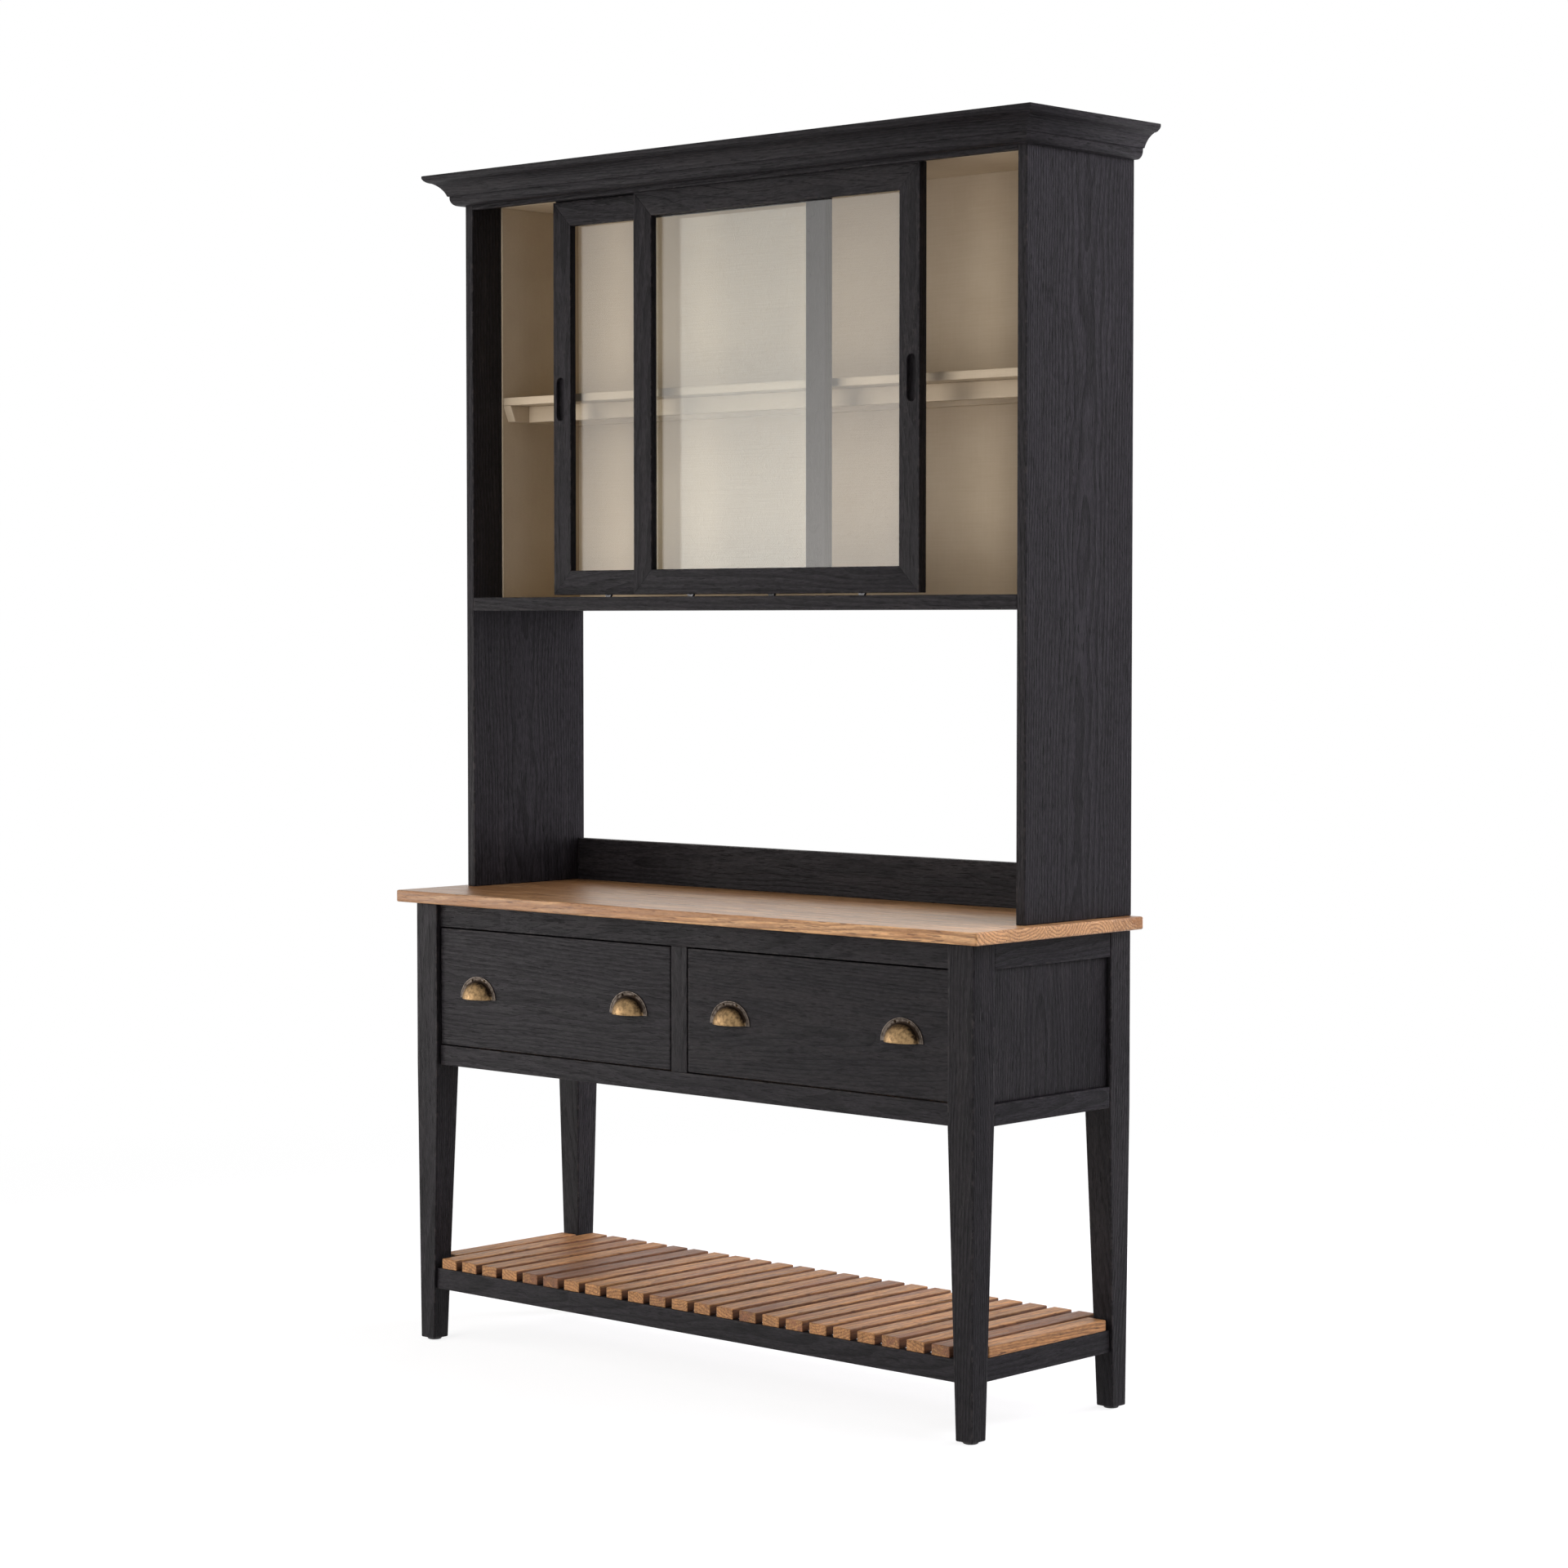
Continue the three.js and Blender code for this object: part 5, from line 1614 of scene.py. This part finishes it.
@dataclass
class HutchCarcass:
    """The cabinet on its two tall sides, with its floor, ceiling, back, linings and shelf."""

    ceiling_thickness: float = 0.018
    lip_depth: float = 0.012
    groove_width: float = 0.008
    groove_depth: float = 0.006
    cleat_width: float = 0.020
    cleat_chamfer: float = 0.013
    cross_setback: float = 0.048
    cross_thickness: float = 0.018
    easing: float = 0.0015
    lining_easing: float = 0.0006
    shelf_easing: float = 0.0022
    groove_easing: float = 0.0008
    end_easing: float = 0.0005
    end_room: float = 0.003
    paint_easing: float = 0.0002
    paint_setback: float = 0.004
    floor_paint: float = 0.0006
    ceiling_paint: float = 0.0008

    def make_boards(self, shop: Workshop) -> None:
        """Makes the sides, the splash board, the top and the cream boards inside."""
        boards = []
        for side in Side:
            boards += [
                (f"hutch_side_{side.word}", Axis.Z, Axis.X, Slot.BLACK_WOOD, self.easing),
                (f"cabinet_lining_{side.word}", Axis.Z, Axis.X, Slot.CREAM_PAINT, self.lining_easing),
            ]
        boards += [
            ("splash_board", Axis.X, Axis.Y, Slot.BLACK_WOOD, self.easing),
            ("hutch_top", Axis.X, Axis.Z, Slot.BLACK_WOOD, Board.easing),
            ("cabinet_back", Axis.X, Axis.Y, Slot.CREAM_PAINT, self.lining_easing),
            ("inner_shelf", Axis.X, Axis.Z, Slot.CREAM_PAINT, self.shelf_easing),
        ]
        for node, along, through, slot, easing in boards:
            shop.node_board(node, along, through, slot, "carcass", easing=easing)

    def make_support(self, shop: Workshop) -> None:
        """Makes the cleats and the cross rail under the shelf."""
        low, high = corners_of("shelf_support")
        chamfer = self.cleat_chamfer

        def slanted(points: Array) -> Array:
            """Draws the front end back towards the bottom, in step with the height."""
            moved = points.copy()
            drop = (high[2] - points[..., 2]) / (high[2] - low[2])
            share = (high[1] - points[..., 1]) / (high[1] - low[1])
            moved[..., 1] += chamfer * drop * share
            return moved

        for side in Side:
            left, right = edges_at(side, low, high, self.cleat_width)
            cleat = Board(
                f"shelf_cleat_{side.word}",
                np.array([left, low[1], low[2]]), np.array([right, high[1], high[2]]),
                Axis.Y, Axis.X, bend=slanted,
            )
            shop.board(cleat, Slot.CREAM_PAINT, "carcass", ["shelf_support"])
        inner_low = low[0] + self.cleat_width
        inner_high = high[0] - self.cleat_width
        cross_front = low[1] + self.cross_setback
        for name, front, back in (
            ("shelf_cross_rail", cross_front, cross_front + self.cross_thickness),
            ("shelf_cleat_rear", high[1] - self.cleat_width, high[1]),
        ):
            rail_low = np.array([inner_low, front, low[2]])
            rail_high = np.array([inner_high, back, high[2]])
            rail = Board(name, rail_low, rail_high, Axis.X, Axis.Y)
            shop.board(rail, Slot.CREAM_PAINT, "carcass", ["shelf_support"])

    def make_grooved(self, shop: Workshop, node: str, corners: Sequence[Sequence[float]]) -> None:
        """Makes a board whose end shows an outline of its own, such as one with grooves.

        Formula: the outline in Y and Z, with eased corners, is carried over the box's width.

        Args:
            shop: the workshop.
            node: the CAD node that the board stands for.
            corners: the outline, anticlockwise as seen from the right.
        """
        low, high = (corner[0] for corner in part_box(node))
        name = f"{node}_board"
        profile = eased_outline(corners, self.groove_easing)
        stations = eased_stations(high - low, self.end_easing, self.end_room)
        outlines = profile.drawn_in(np.minimum(stations.inset, self.end_easing))
        rings = np.zeros((*outlines.shape[:2], 3))
        rings[..., 0] = low + stations.along[:, None]
        rings[..., 1:] = outlines
        middle = np.array([(low + high) / 2, *np.mean(corners, axis=0)])
        surface = ring_loft(rings, wear_grid(stations, profile))
        grain = Grain.of_board(name, middle, Axis.X, Axis.Z)
        shop.piece(name, surface, Slot.BLACK_WOOD, "carcass", [node], grain)

    def lay_paint(self, shop: Workshop, name: str, front: float, bottom: float, top: float) -> None:
        """Lays a skin of paint from one lining to the other, and back to the cabinet's back."""
        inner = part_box("cabinet_lining_right")[0][0] - GAP
        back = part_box("cabinet_back")[0][1] - GAP
        low, high = np.array([-inner, front, bottom]), np.array([inner, back, top])
        skin = Board(name, low, high, Axis.X, Axis.Z, easing=self.paint_easing)
        shop.board(skin, Slot.CREAM_PAINT, "carcass")

    def make_floor(self, shop: Workshop) -> None:
        """Makes the cabinet's floor: its front edge is black, and the part behind the doors is cream."""
        low, high = corners_of("cabinet_floor")
        track_low, track_high = corners_of("bottom_track")
        bed = track_low[2] - GAP
        bed_front = track_low[1] - GAP
        bed_back = track_high[1] + GAP
        corners = [
            (low[1], low[2]), (high[1], low[2]), (high[1], high[2]), (bed_back, high[2]),
            (bed_back, bed), (bed_front, bed), (bed_front, high[2]), (low[1], high[2]),
        ]
        self.make_grooved(shop, "cabinet_floor", corners)
        shop.keep("bottom_track", Slot.TRACK_ALUMINIUM)
        front = track_high[1] + self.paint_setback
        bottom, top = high[2] - self.floor_paint / 2, high[2] + self.floor_paint
        self.lay_paint(shop, "cabinet_floor_paint", front, bottom, top)

    def make_ceiling(self, shop: Workshop) -> None:
        """Makes the ceiling with its front lip and the two grooves for the doors' tongues."""
        low, high = corners_of("cabinet_ceiling")
        under = high[2] - self.ceiling_thickness
        corners = [(low[1], low[2]), (low[1] + self.lip_depth, low[2]), (low[1] + self.lip_depth, under)]
        for door in ("right", "left"):
            door_low, door_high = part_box(f"door_frame_{door}")
            middle = (door_low[1] + door_high[1]) / 2
            near = middle - self.groove_width / 2
            far = middle + self.groove_width / 2
            top = under + self.groove_depth
            corners += [(near, under), (near, top), (far, top), (far, under)]
        corners += [(high[1], under), (high[1], high[2]), (low[1], high[2])]
        self.make_grooved(shop, "cabinet_ceiling", corners)
        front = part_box("cabinet_lining_right")[0][1]
        self.lay_paint(shop, "cabinet_ceiling_paint", front, under - self.ceiling_paint, under + GAP)

    def make(self, shop: Workshop) -> None:
        """Makes the whole carcass of the hutch."""
        self.make_boards(shop)
        self.make_support(shop)
        self.make_floor(shop)
        self.make_ceiling(shop)


@dataclass
class Cornice:
    """Three mitred mouldings round the top: fillet, ovolo, large cove, step and bead."""

    arc_steps: int = 10
    fillet: tuple[float, float] = (1.0, 0.911)
    ovolo_foot: tuple[float, float] = (0.782, 0.75)
    cove_foot: tuple[float, float] = (0.382, 0.321)
    bead_top: tuple[float, float] = (0.327, 0.268)
    bead_foot: tuple[float, float] = (0.109, 0.0)
    ovolo_sag: float = 0.035
    cove_sag: float = -0.06
    quirk: float = 0.02
    end_insets: tuple[float, float, float] = (0.0005, 0.0001, 0.0)
    end_shares: tuple[float, float, float] = (0.0, 0.0002, 0.0006)
    packer_gap: float = 0.0002
    packer_easing: float = 0.0005

    def outline(self, lip: float, height: float) -> Profile:
        """The moulding's outline: how far it stands out, and its height above its foot.

        Formula: the ovolo and the cove are parabolas over their chords with the given sag, and the
        bead is a quarter of an ellipse. Outward directions are the means of the two neighbouring
        sides' normals.

        Args:
            lip: how far the top stands out.
            height: the moulding's height.

        Returns:
            The profile.
        """
        share = np.linspace(0, 1, self.arc_steps)[:, None]
        quirk = np.array([self.quirk, 0])

        def bowed(start: Array, end: Array, sag: float) -> Array:
            """Points of the parabola over the chord."""
            chord = end - start
            normal = np.array([-chord[1], chord[0]]) / np.linalg.norm(chord)
            return start + chord * share + normal * sag * 4 * share * (1 - share)

        fillet, ovolo_foot, cove_foot, bead_top, bead_foot = (
            np.array(point)
            for point in (self.fillet, self.ovolo_foot, self.cove_foot, self.bead_top, self.bead_foot)
        )
        turn = share * math.pi / 2
        bead = bead_foot + (bead_top - bead_foot) * np.concatenate([np.cos(turn), 1 - np.sin(turn)], axis=1)
        shares = np.concatenate([
            [(0.0, 1.0), (0.97, 1.0), (0.995, 0.992), (1.0, 0.97)],
            bowed(fillet, ovolo_foot, self.ovolo_sag),
            bowed(ovolo_foot - quirk, cove_foot, self.cove_sag),
            [(bead_top[0], cove_foot[1])],
            bead,
            [(0.0, 0.0)],
        ])[::-1]
        points = shares * (lip, height)
        sides = np.roll(points, -1, axis=0) - points
        normals = np.stack([sides[:, 1], -sides[:, 0]], axis=1)
        normals = normals / np.linalg.norm(normals, axis=1, keepdims=True)
        outward = normals + np.roll(normals, 1, axis=0)
        outward = outward / np.linalg.norm(outward, axis=1, keepdims=True)
        return Profile.plain(points, outward)

    def make(self, shop: Workshop) -> None:
        """Makes the front moulding and the two returns, which meet it in mitres."""
        low, high = corners_of("cornice_front")
        side_low, side_high = corners_of("cornice_right")
        lip = side_high[0] - side_low[0]
        foot = low[2]
        profile = self.outline(lip, high[2] - foot)
        face_x = side_low[0]
        face_y = low[1] + lip
        back = side_high[1]
        soft = np.array(self.end_insets)
        depths = np.concatenate([soft, [0.0], soft[::-1]])
        outlines = profile.drawn_in(depths)
        ease = np.array(self.end_shares)
        out = outlines[..., 0]
        front = np.zeros((*outlines.shape[:2], 3))
        ends = np.concatenate([ease - 1, [0.0], 1 - ease[::-1]])
        corner_x = face_x + profile.points[None, :, 0]
        front[..., 0] = ends[:, None] * corner_x
        front[..., 1] = face_y - out
        front[..., 2] = foot + outlines[..., 1]
        middle = np.array([0, face_y, foot])
        packer = Board(
            "cornice_packer",
            np.array([low[0] + lip, face_y + self.packer_gap, foot]),
            np.array([high[0] - lip, high[1], high[2]]),
            Axis.X, Axis.Y, easing=self.packer_easing,
        )
        shop.board(packer, Slot.BLACK_WOOD, "carcass", ["cornice_front"])
        surface = ring_loft(front)
        grain = Grain.of_board("cornice_front", middle, Axis.X, Axis.Y)
        shop.piece("cornice_front_moulding", surface, Slot.BLACK_WOOD, "carcass", ["cornice_front"], grain)
        for side in Side:
            name = f"cornice_{side.word}"
            run = np.concatenate([ease, [0.5], 1 - ease[::-1]])[:, None]
            rings = np.zeros(front.shape)
            start = face_y - profile.points[None, :, 0] + GAP
            rings[..., 0] = side.value * (face_x + out)
            rings[..., 1] = start + (back - start) * run
            rings[..., 2] = foot + outlines[..., 1]
            surface = ring_loft(rings)
            origin = np.array([side.value * face_x, 0, foot])
            grain = Grain.of_board(name, origin, Axis.Y, Axis.X)
            shop.piece(f"{name}_moulding", surface, Slot.BLACK_WOOD, "carcass", [name], grain)


@dataclass
class SlidingDoor:
    """A sliding door: four mitred members, a tongue along its top, a pane and two rollers."""

    side: Side
    member_width: float = 0.045
    thickness: float = 0.019
    height: float = 0.724
    glass_rebate: float = 0.008
    glass_setback: float = 0.0142
    easing: float = 0.0014
    end_insets: tuple[float, float, float] = (0.0004, 0.0001, 0.0)
    end_places: tuple[float, float, float] = (0.00005, 0.0003, 0.0009)
    tongue_thickness: float = 0.006
    tongue_gap: float = 0.00005
    tongue_easing: float = 0.0006
    slot_inset: float = 0.018
    slot_width: float = 0.020
    slot_length: float = 0.080
    slot_depth: float = 0.010
    slot_steps: int = 48
    slot_crisp_angle: float = 30.0
    tool_start: float = -0.004
    tool_rounding: float = 0.001
    mouth_depth: float = 0.0007
    mouth_growth: float = 0.0009

    def member(self, name: str, length: float, place: Callable[[Array, Array, Array], Array],
               along: Axis) -> tuple[Surface, Grain]:
        """One mitred member with a rebate for the glass.

        Formula: the member's outline, its width by its thickness with a notch at its inner back
        corner, is carried along its length; a point at the distance w from the outer edge runs only
        from w to the length less w, which gives the two mitres.

        Args:
            name: the member's name.
            length: its length along its outer edge.
            place: maps length, width and depth to a point.
            along: the direction of its grain.

        Returns:
            The surface and its grain.
        """
        width, thick = self.member_width, self.thickness
        notch, depth = width - self.glass_rebate, self.glass_setback
        corners = [(0, 0), (width, 0), (width, depth), (notch, depth), (notch, thick), (0, thick)]
        profile = eased_outline(corners, self.easing)
        soft = np.array(self.end_insets)
        outlines = profile.drawn_in(np.concatenate([soft, soft[::-1]]))
        ease = np.array(self.end_places)
        steps = np.concatenate([ease, length - ease[::-1]])[:, None]
        reach = profile.points[None, :, 0]
        run = np.where(steps < length / 2, reach + steps, steps - reach)
        rings = place(run, outlines[..., 0], outlines[..., 1])
        edge = np.tile(profile.arris, (len(steps), 1))
        middle = rings.reshape(-1, 3).mean(axis=0)
        return ring_loft(rings, edge), Grain.of_board(name, middle, along, Axis.Y)

    def make(self, shop: Workshop) -> None:
        """Makes the door's pieces on the door's body."""
        word = self.side.word
        body = f"door_{word}"
        node = f"door_frame_{word}"
        low, high = corners_of(node)
        top = low[2] + self.height
        width = high[0] - low[0]

        def laid(flipped: bool, upright: bool) -> Callable[[Array, Array, Array], Array]:
            """Where the points of one member go.

            Args:
                flipped: whether the member is at the right or the top.
                upright: whether it is a stile.

            Returns:
                A function of length, width and depth.
            """
            far = (high[0] if upright else top) if flipped else (low[0] if upright else low[2])
            sign = -1 if flipped else 1

            def placed(run: Array, reach: Array, depth: Array) -> Array:
                """The point at that length, width and depth."""
                side = far + sign * reach
                if upright:
                    return np.stack([side, low[1] + depth, low[2] + run], axis=-1)
                return np.stack([low[0] + run, low[1] + depth, side], axis=-1)

            return placed

        for name, flipped, upright in (
            ("left_stile", False, True),
            ("right_stile", True, True),
            ("bottom_rail", False, False),
            ("top_rail", True, False),
        ):
            length = self.height if upright else width
            along = Axis.Z if upright else Axis.X
            full = f"{body}_{name}"
            surface, grain = self.member(full, length, laid(flipped, upright), along)
            member = shop.piece(full, surface, Slot.BLACK_WOOD, body, [node], grain)
            if name == f"{word}_stile":
                self.cut_slot(member, grain, low, high)
        tongue_middle = (low[1] + high[1]) / 2
        tongue = Board(
            f"{body}_tongue",
            np.array([low[0], tongue_middle - self.tongue_thickness / 2, top + self.tongue_gap]),
            np.array([high[0], tongue_middle + self.tongue_thickness / 2, high[2]]),
            Axis.X, Axis.Y, easing=self.tongue_easing,
        )
        shop.board(tongue, Slot.BLACK_WOOD, body, [node])
        shop.keep(f"door_glass_{word}", Slot.DOOR_GLASS)
        for end in ("left", "right"):
            shop.keep(f"door_{word}_roller_{end}", Slot.ROLLER_STEEL)

    def cut_slot(self, stile: Object, grain: Grain, low: Array, high: Array) -> None:
        """Cuts the finger slot into a stile and gives the new points their place in the wood.

        Formula: the tool is a rounded slot outline, two half circles joined by straight sides, carried
        from in front of the door to the slot's depth, with a slightly wider mouth.

        Args:
            stile: the piece.
            grain: its grain.
            low: the door's lowest corner.
            high: the door's highest corner.
        """
        side = low[0] if self.side is Side.LEFT else high[0]
        centre_x = side - self.side.value * self.slot_inset
        centre_z = low[2] + self.height / 2
        radius = self.slot_width / 2
        rise = self.slot_length / 2 - radius
        turn = np.linspace(0, 2 * math.pi, self.slot_steps, endpoint=False)
        rounding = self.tool_rounding
        depths = np.array([
            self.tool_start, 0.0, self.mouth_depth, self.slot_depth - rounding, self.slot_depth,
        ])
        grow = np.array([self.mouth_growth, self.mouth_growth, 0.0, 0.0, -rounding])
        rings = np.zeros((len(depths), len(turn), 3))
        rings[..., 0] = centre_x + np.cos(turn) * (radius + grow[:, None])
        rings[..., 1] = low[1] + depths[:, None]
        # The tiny turn puts the points at the two sides on one half circle each.
        lift = rise * np.sign(np.sin(turn + 1e-6))
        rings[..., 2] = centre_z + np.sin(turn) * (radius + grow[:, None]) + lift
        tool_surface = ring_loft(rings)
        tool_mesh = bpy.data.meshes.new("slot_tool")
        tool_mesh.from_pydata(tool_surface.points.tolist(), [], tool_surface.faces)
        tool = linked("slot_tool", tool_mesh)
        cut = stile.modifiers.new("finger_slot", "BOOLEAN")
        cut.object = tool
        cut.solver = "EXACT"
        graph = bpy.context.evaluated_depsgraph_get()
        result = bpy.data.meshes.new_from_object(stile.evaluated_get(graph), depsgraph=graph)
        stile.modifiers.clear()
        old = stile.data
        stile.data = result
        bpy.data.meshes.remove(old)
        bpy.data.objects.remove(tool)
        bpy.data.meshes.remove(tool_mesh)
        points = np.zeros(len(result.vertices) * 3)
        result.vertices.foreach_get("co", points)
        places = grain.at(points.reshape(-1, 3)).astype(np.float32)
        result.attributes["grain"].data.foreach_set("vector", places.ravel())
        tones = np.full(len(result.vertices), seeded(stile.name + "_tone").uniform(0, 1), np.float32)
        result.attributes["tone"].data.foreach_set("value", tones)
        result.shade_smooth()
        result.set_sharp_from_angle(angle=math.radians(self.slot_crisp_angle))


@dataclass
class Lamp:
    """A soft square lamp that points at a place."""

    name: str
    place: tuple[float, float, float]
    aim: tuple[float, float, float]
    size: float
    power: float
    colour: Colour
    shines: bool = False

    def make(self) -> None:
        """Adds the lamp; the camera never sees it, and gloss shows it only where it shines."""
        light = bpy.data.lights.new(self.name, "AREA")
        light.energy = self.power
        light.size = self.size
        light.color = self.colour
        lamp = linked(self.name, light)
        start = np.array(self.place)
        way = np.array(self.aim) - start
        flat = math.hypot(way[0], way[1])
        lamp.location = start
        lamp.rotation_euler = (math.atan2(flat, -way[2]), 0, math.atan2(-way[0], way[1]))
        lamp.visible_camera = False
        lamp.visible_transmission = False
        lamp.visible_glossy = self.shines


@dataclass
class Studio:
    """The photographer's side: camera, lamps, a white surround and a pale floor."""

    place: tuple[float, float, float] = (4.4422, -4.7676, 1.3455)
    heading: float = 42.48
    pitch: float = -2.55
    lens: float = 84.16
    sensor: float = 36.0
    surround: float = 0.03
    glow_way: tuple[float, float, float] = (-0.601, -0.796, -0.075)
    glow_sharpness: float = 70.0
    glow: float = 3.2
    glow_colour: Colour = (1.0, 0.93, 0.87)
    floor_reach: float = 30.0
    floor_colour: Colour = (0.5, 0.5, 0.5)
    floor_shade: Colour = (0.3, 0.3, 0.3)
    floor_glow: float = 0.84
    floor_roughness: float = 0.9
    shadow_reach: tuple[float, float] = (1.3, 3.6)
    lamps: list[Lamp] = field(default_factory=lambda: [
        Lamp("left_window", (-2.5, -1.8, 0.7), (0, 0, 0.8), 1.4, 26, (1.0, 0.96, 0.95), True),
        Lamp("low_front", (-0.8, -3.5, 1.2), (0, 0, 0.9), 2.4, 61, (1.0, 0.965, 0.96)),
        Lamp("high_front", (-0.8, -3.2, 3.6), (0, 0, 1.1), 2.8, 52, (1.0, 0.97, 0.955)),
        Lamp("behind_right", (2.4, 1.8, 2.8), (0.4, 0, 1.8), 1.6, 58, (0.91, 0.88, 1.0)),
        Lamp("right_side", (3.0, 0.25, 2.6), (0.6, 0, 1.6), 1.4, 34, (0.91, 0.88, 1.0)),
        Lamp("right_front", (3.0, -2.2, 1.2), (-0.6, 0, 1.1), 1.4, 13, (0.95, 0.93, 1.0)),
        Lamp("low_behind", (1.2, 2.85, 1.15), (-0.65, 0, 1.1), 1.4, 108, (0.91, 0.88, 1.0)),
        Lamp("behind_left", (-2.3, 2.5, 2.8), (0, 0, 0.84), 1.6, 16, (1.0, 0.95, 0.88), True),
    ])

    def make_camera(self) -> None:
        """Adds the camera that takes the photograph's view."""
        data = bpy.data.cameras.new("camera")
        data.lens = self.lens
        data.sensor_width = self.sensor
        data.sensor_fit = "HORIZONTAL"
        data.clip_end = 100
        camera = linked("camera", data)
        camera.location = self.place
        camera.rotation_euler = (math.radians(90 + self.pitch), 0, math.radians(self.heading))
        bpy.context.scene.camera = camera

    @staticmethod
    def seen_share(sheet: Sheet) -> NodeSocket:
        """1 for the rays that show the surround: from the camera, off gloss and through glass."""
        path = sheet.add("ShaderNodeLightPath").outputs
        direct = sheet.maths("MAXIMUM", path["Is Camera Ray"], path["Is Glossy Ray"])
        return sheet.maths("MAXIMUM", direct, path["Is Transmission Ray"])

    def make_surround(self) -> None:
        """Makes the world: white where it is seen, with a wide window that only gloss and glass show.

        Formula: the window's glow is the cosine between a direction and the window's, to a high power.
        """
        world = bpy.data.worlds.new("surround")
        bpy.context.scene.world = world
        world.use_nodes = True
        sheet = Sheet(world.node_tree)
        even = world.node_tree.nodes["Background"]
        sheet.fill(even, Color=(1, 1, 1), Strength=self.surround)
        white = sheet.add("ShaderNodeBackground")
        sheet.fill(white, Color=(1, 1, 1))
        way = sheet.add("ShaderNodeVectorMath", operation="DOT_PRODUCT")
        sheet.feed(way.inputs[0], sheet.add("ShaderNodeTexCoord").outputs["Generated"])
        sheet.feed(way.inputs[1], self.glow_way)
        near = sheet.maths("POWER", sheet.maths("MAXIMUM", way.outputs["Value"], 0.0), self.glow_sharpness)
        unseen = sheet.maths("SUBTRACT", 1.0, sheet.add("ShaderNodeLightPath").outputs["Is Camera Ray"])
        window = sheet.maths("MULTIPLY", sheet.maths("MULTIPLY", near, self.glow), unseen)
        glowing = sheet.add("ShaderNodeBackground")
        sheet.fill(glowing, Color=self.glow_colour, Strength=window)
        shown = sheet.result("ShaderNodeAddShader", white.outputs[0], glowing.outputs[0])
        blend = sheet.result("ShaderNodeMixShader", self.seen_share(sheet), even.outputs[0], shown)
        sheet.fill(world.node_tree.nodes["World Output"], Surface=blend)

    def make_floor(self) -> None:
        """Makes the pale floor, which keeps the object's shadow and melts into the white surround."""
        material, sheet, shader = new_material("pale_floor")
        sheet.fill(
            shader, Base_Color=self.floor_colour, Roughness=self.floor_roughness, Specular_IOR_Level=0
        )
        soft = sheet.add("ShaderNodeBsdfDiffuse")
        place = sheet.add("ShaderNodeTexCoord").outputs["Object"]
        distance = sheet.add("ShaderNodeVectorMath", operation="LENGTH")
        sheet.feed(distance.inputs[0], place)
        away = sheet.span(distance.outputs["Value"], *self.shadow_reach)
        sheet.fill(soft, Color=sheet.mix(away, self.floor_shade, (0, 0, 0)))
        glow = sheet.add("ShaderNodeEmission")
        sheet.fill(glow, Strength=sheet.span(away, 0, 1, self.floor_glow, 1, smooth=False))
        shown = sheet.result("ShaderNodeAddShader", soft.outputs[0], glow.outputs[0])
        blend = sheet.result("ShaderNodeMixShader", self.seen_share(sheet), shader.outputs[0], shown)
        sheet.fill(sheet.tree.nodes["Material Output"], Surface=blend)
        reach = self.floor_reach
        mesh = bpy.data.meshes.new("floor")
        corners = [(-reach, -reach, 0), (reach, -reach, 0), (reach, reach, 0), (-reach, reach, 0)]
        mesh.from_pydata(corners, [], [(0, 1, 2, 3)])
        mesh.materials.append(material)
        floor = linked("floor", mesh)

    def make(self) -> None:
        """Sets up the camera, the lamps, the surround and the floor."""
        self.make_camera()
        for lamp in self.lamps:
            lamp.make()
        self.make_surround()
        self.make_floor()
        bpy.context.scene.view_settings.view_transform = "Standard"


def main() -> None:
    """Builds the studio and every sub-assembly."""
    logging.basicConfig(level=logging.INFO, format="%(message)s")
    Studio().make()
    shop = Workshop()
    Base().make(shop)
    SlatShelf().make(shop)
    for side in Side:
        Drawer(side).make(shop)
    HutchCarcass().make(shop)
    Cornice().make(shop)
    for side in Side:
        SlidingDoor(side).make(shop)


if __name__ == "__main__":
    main()
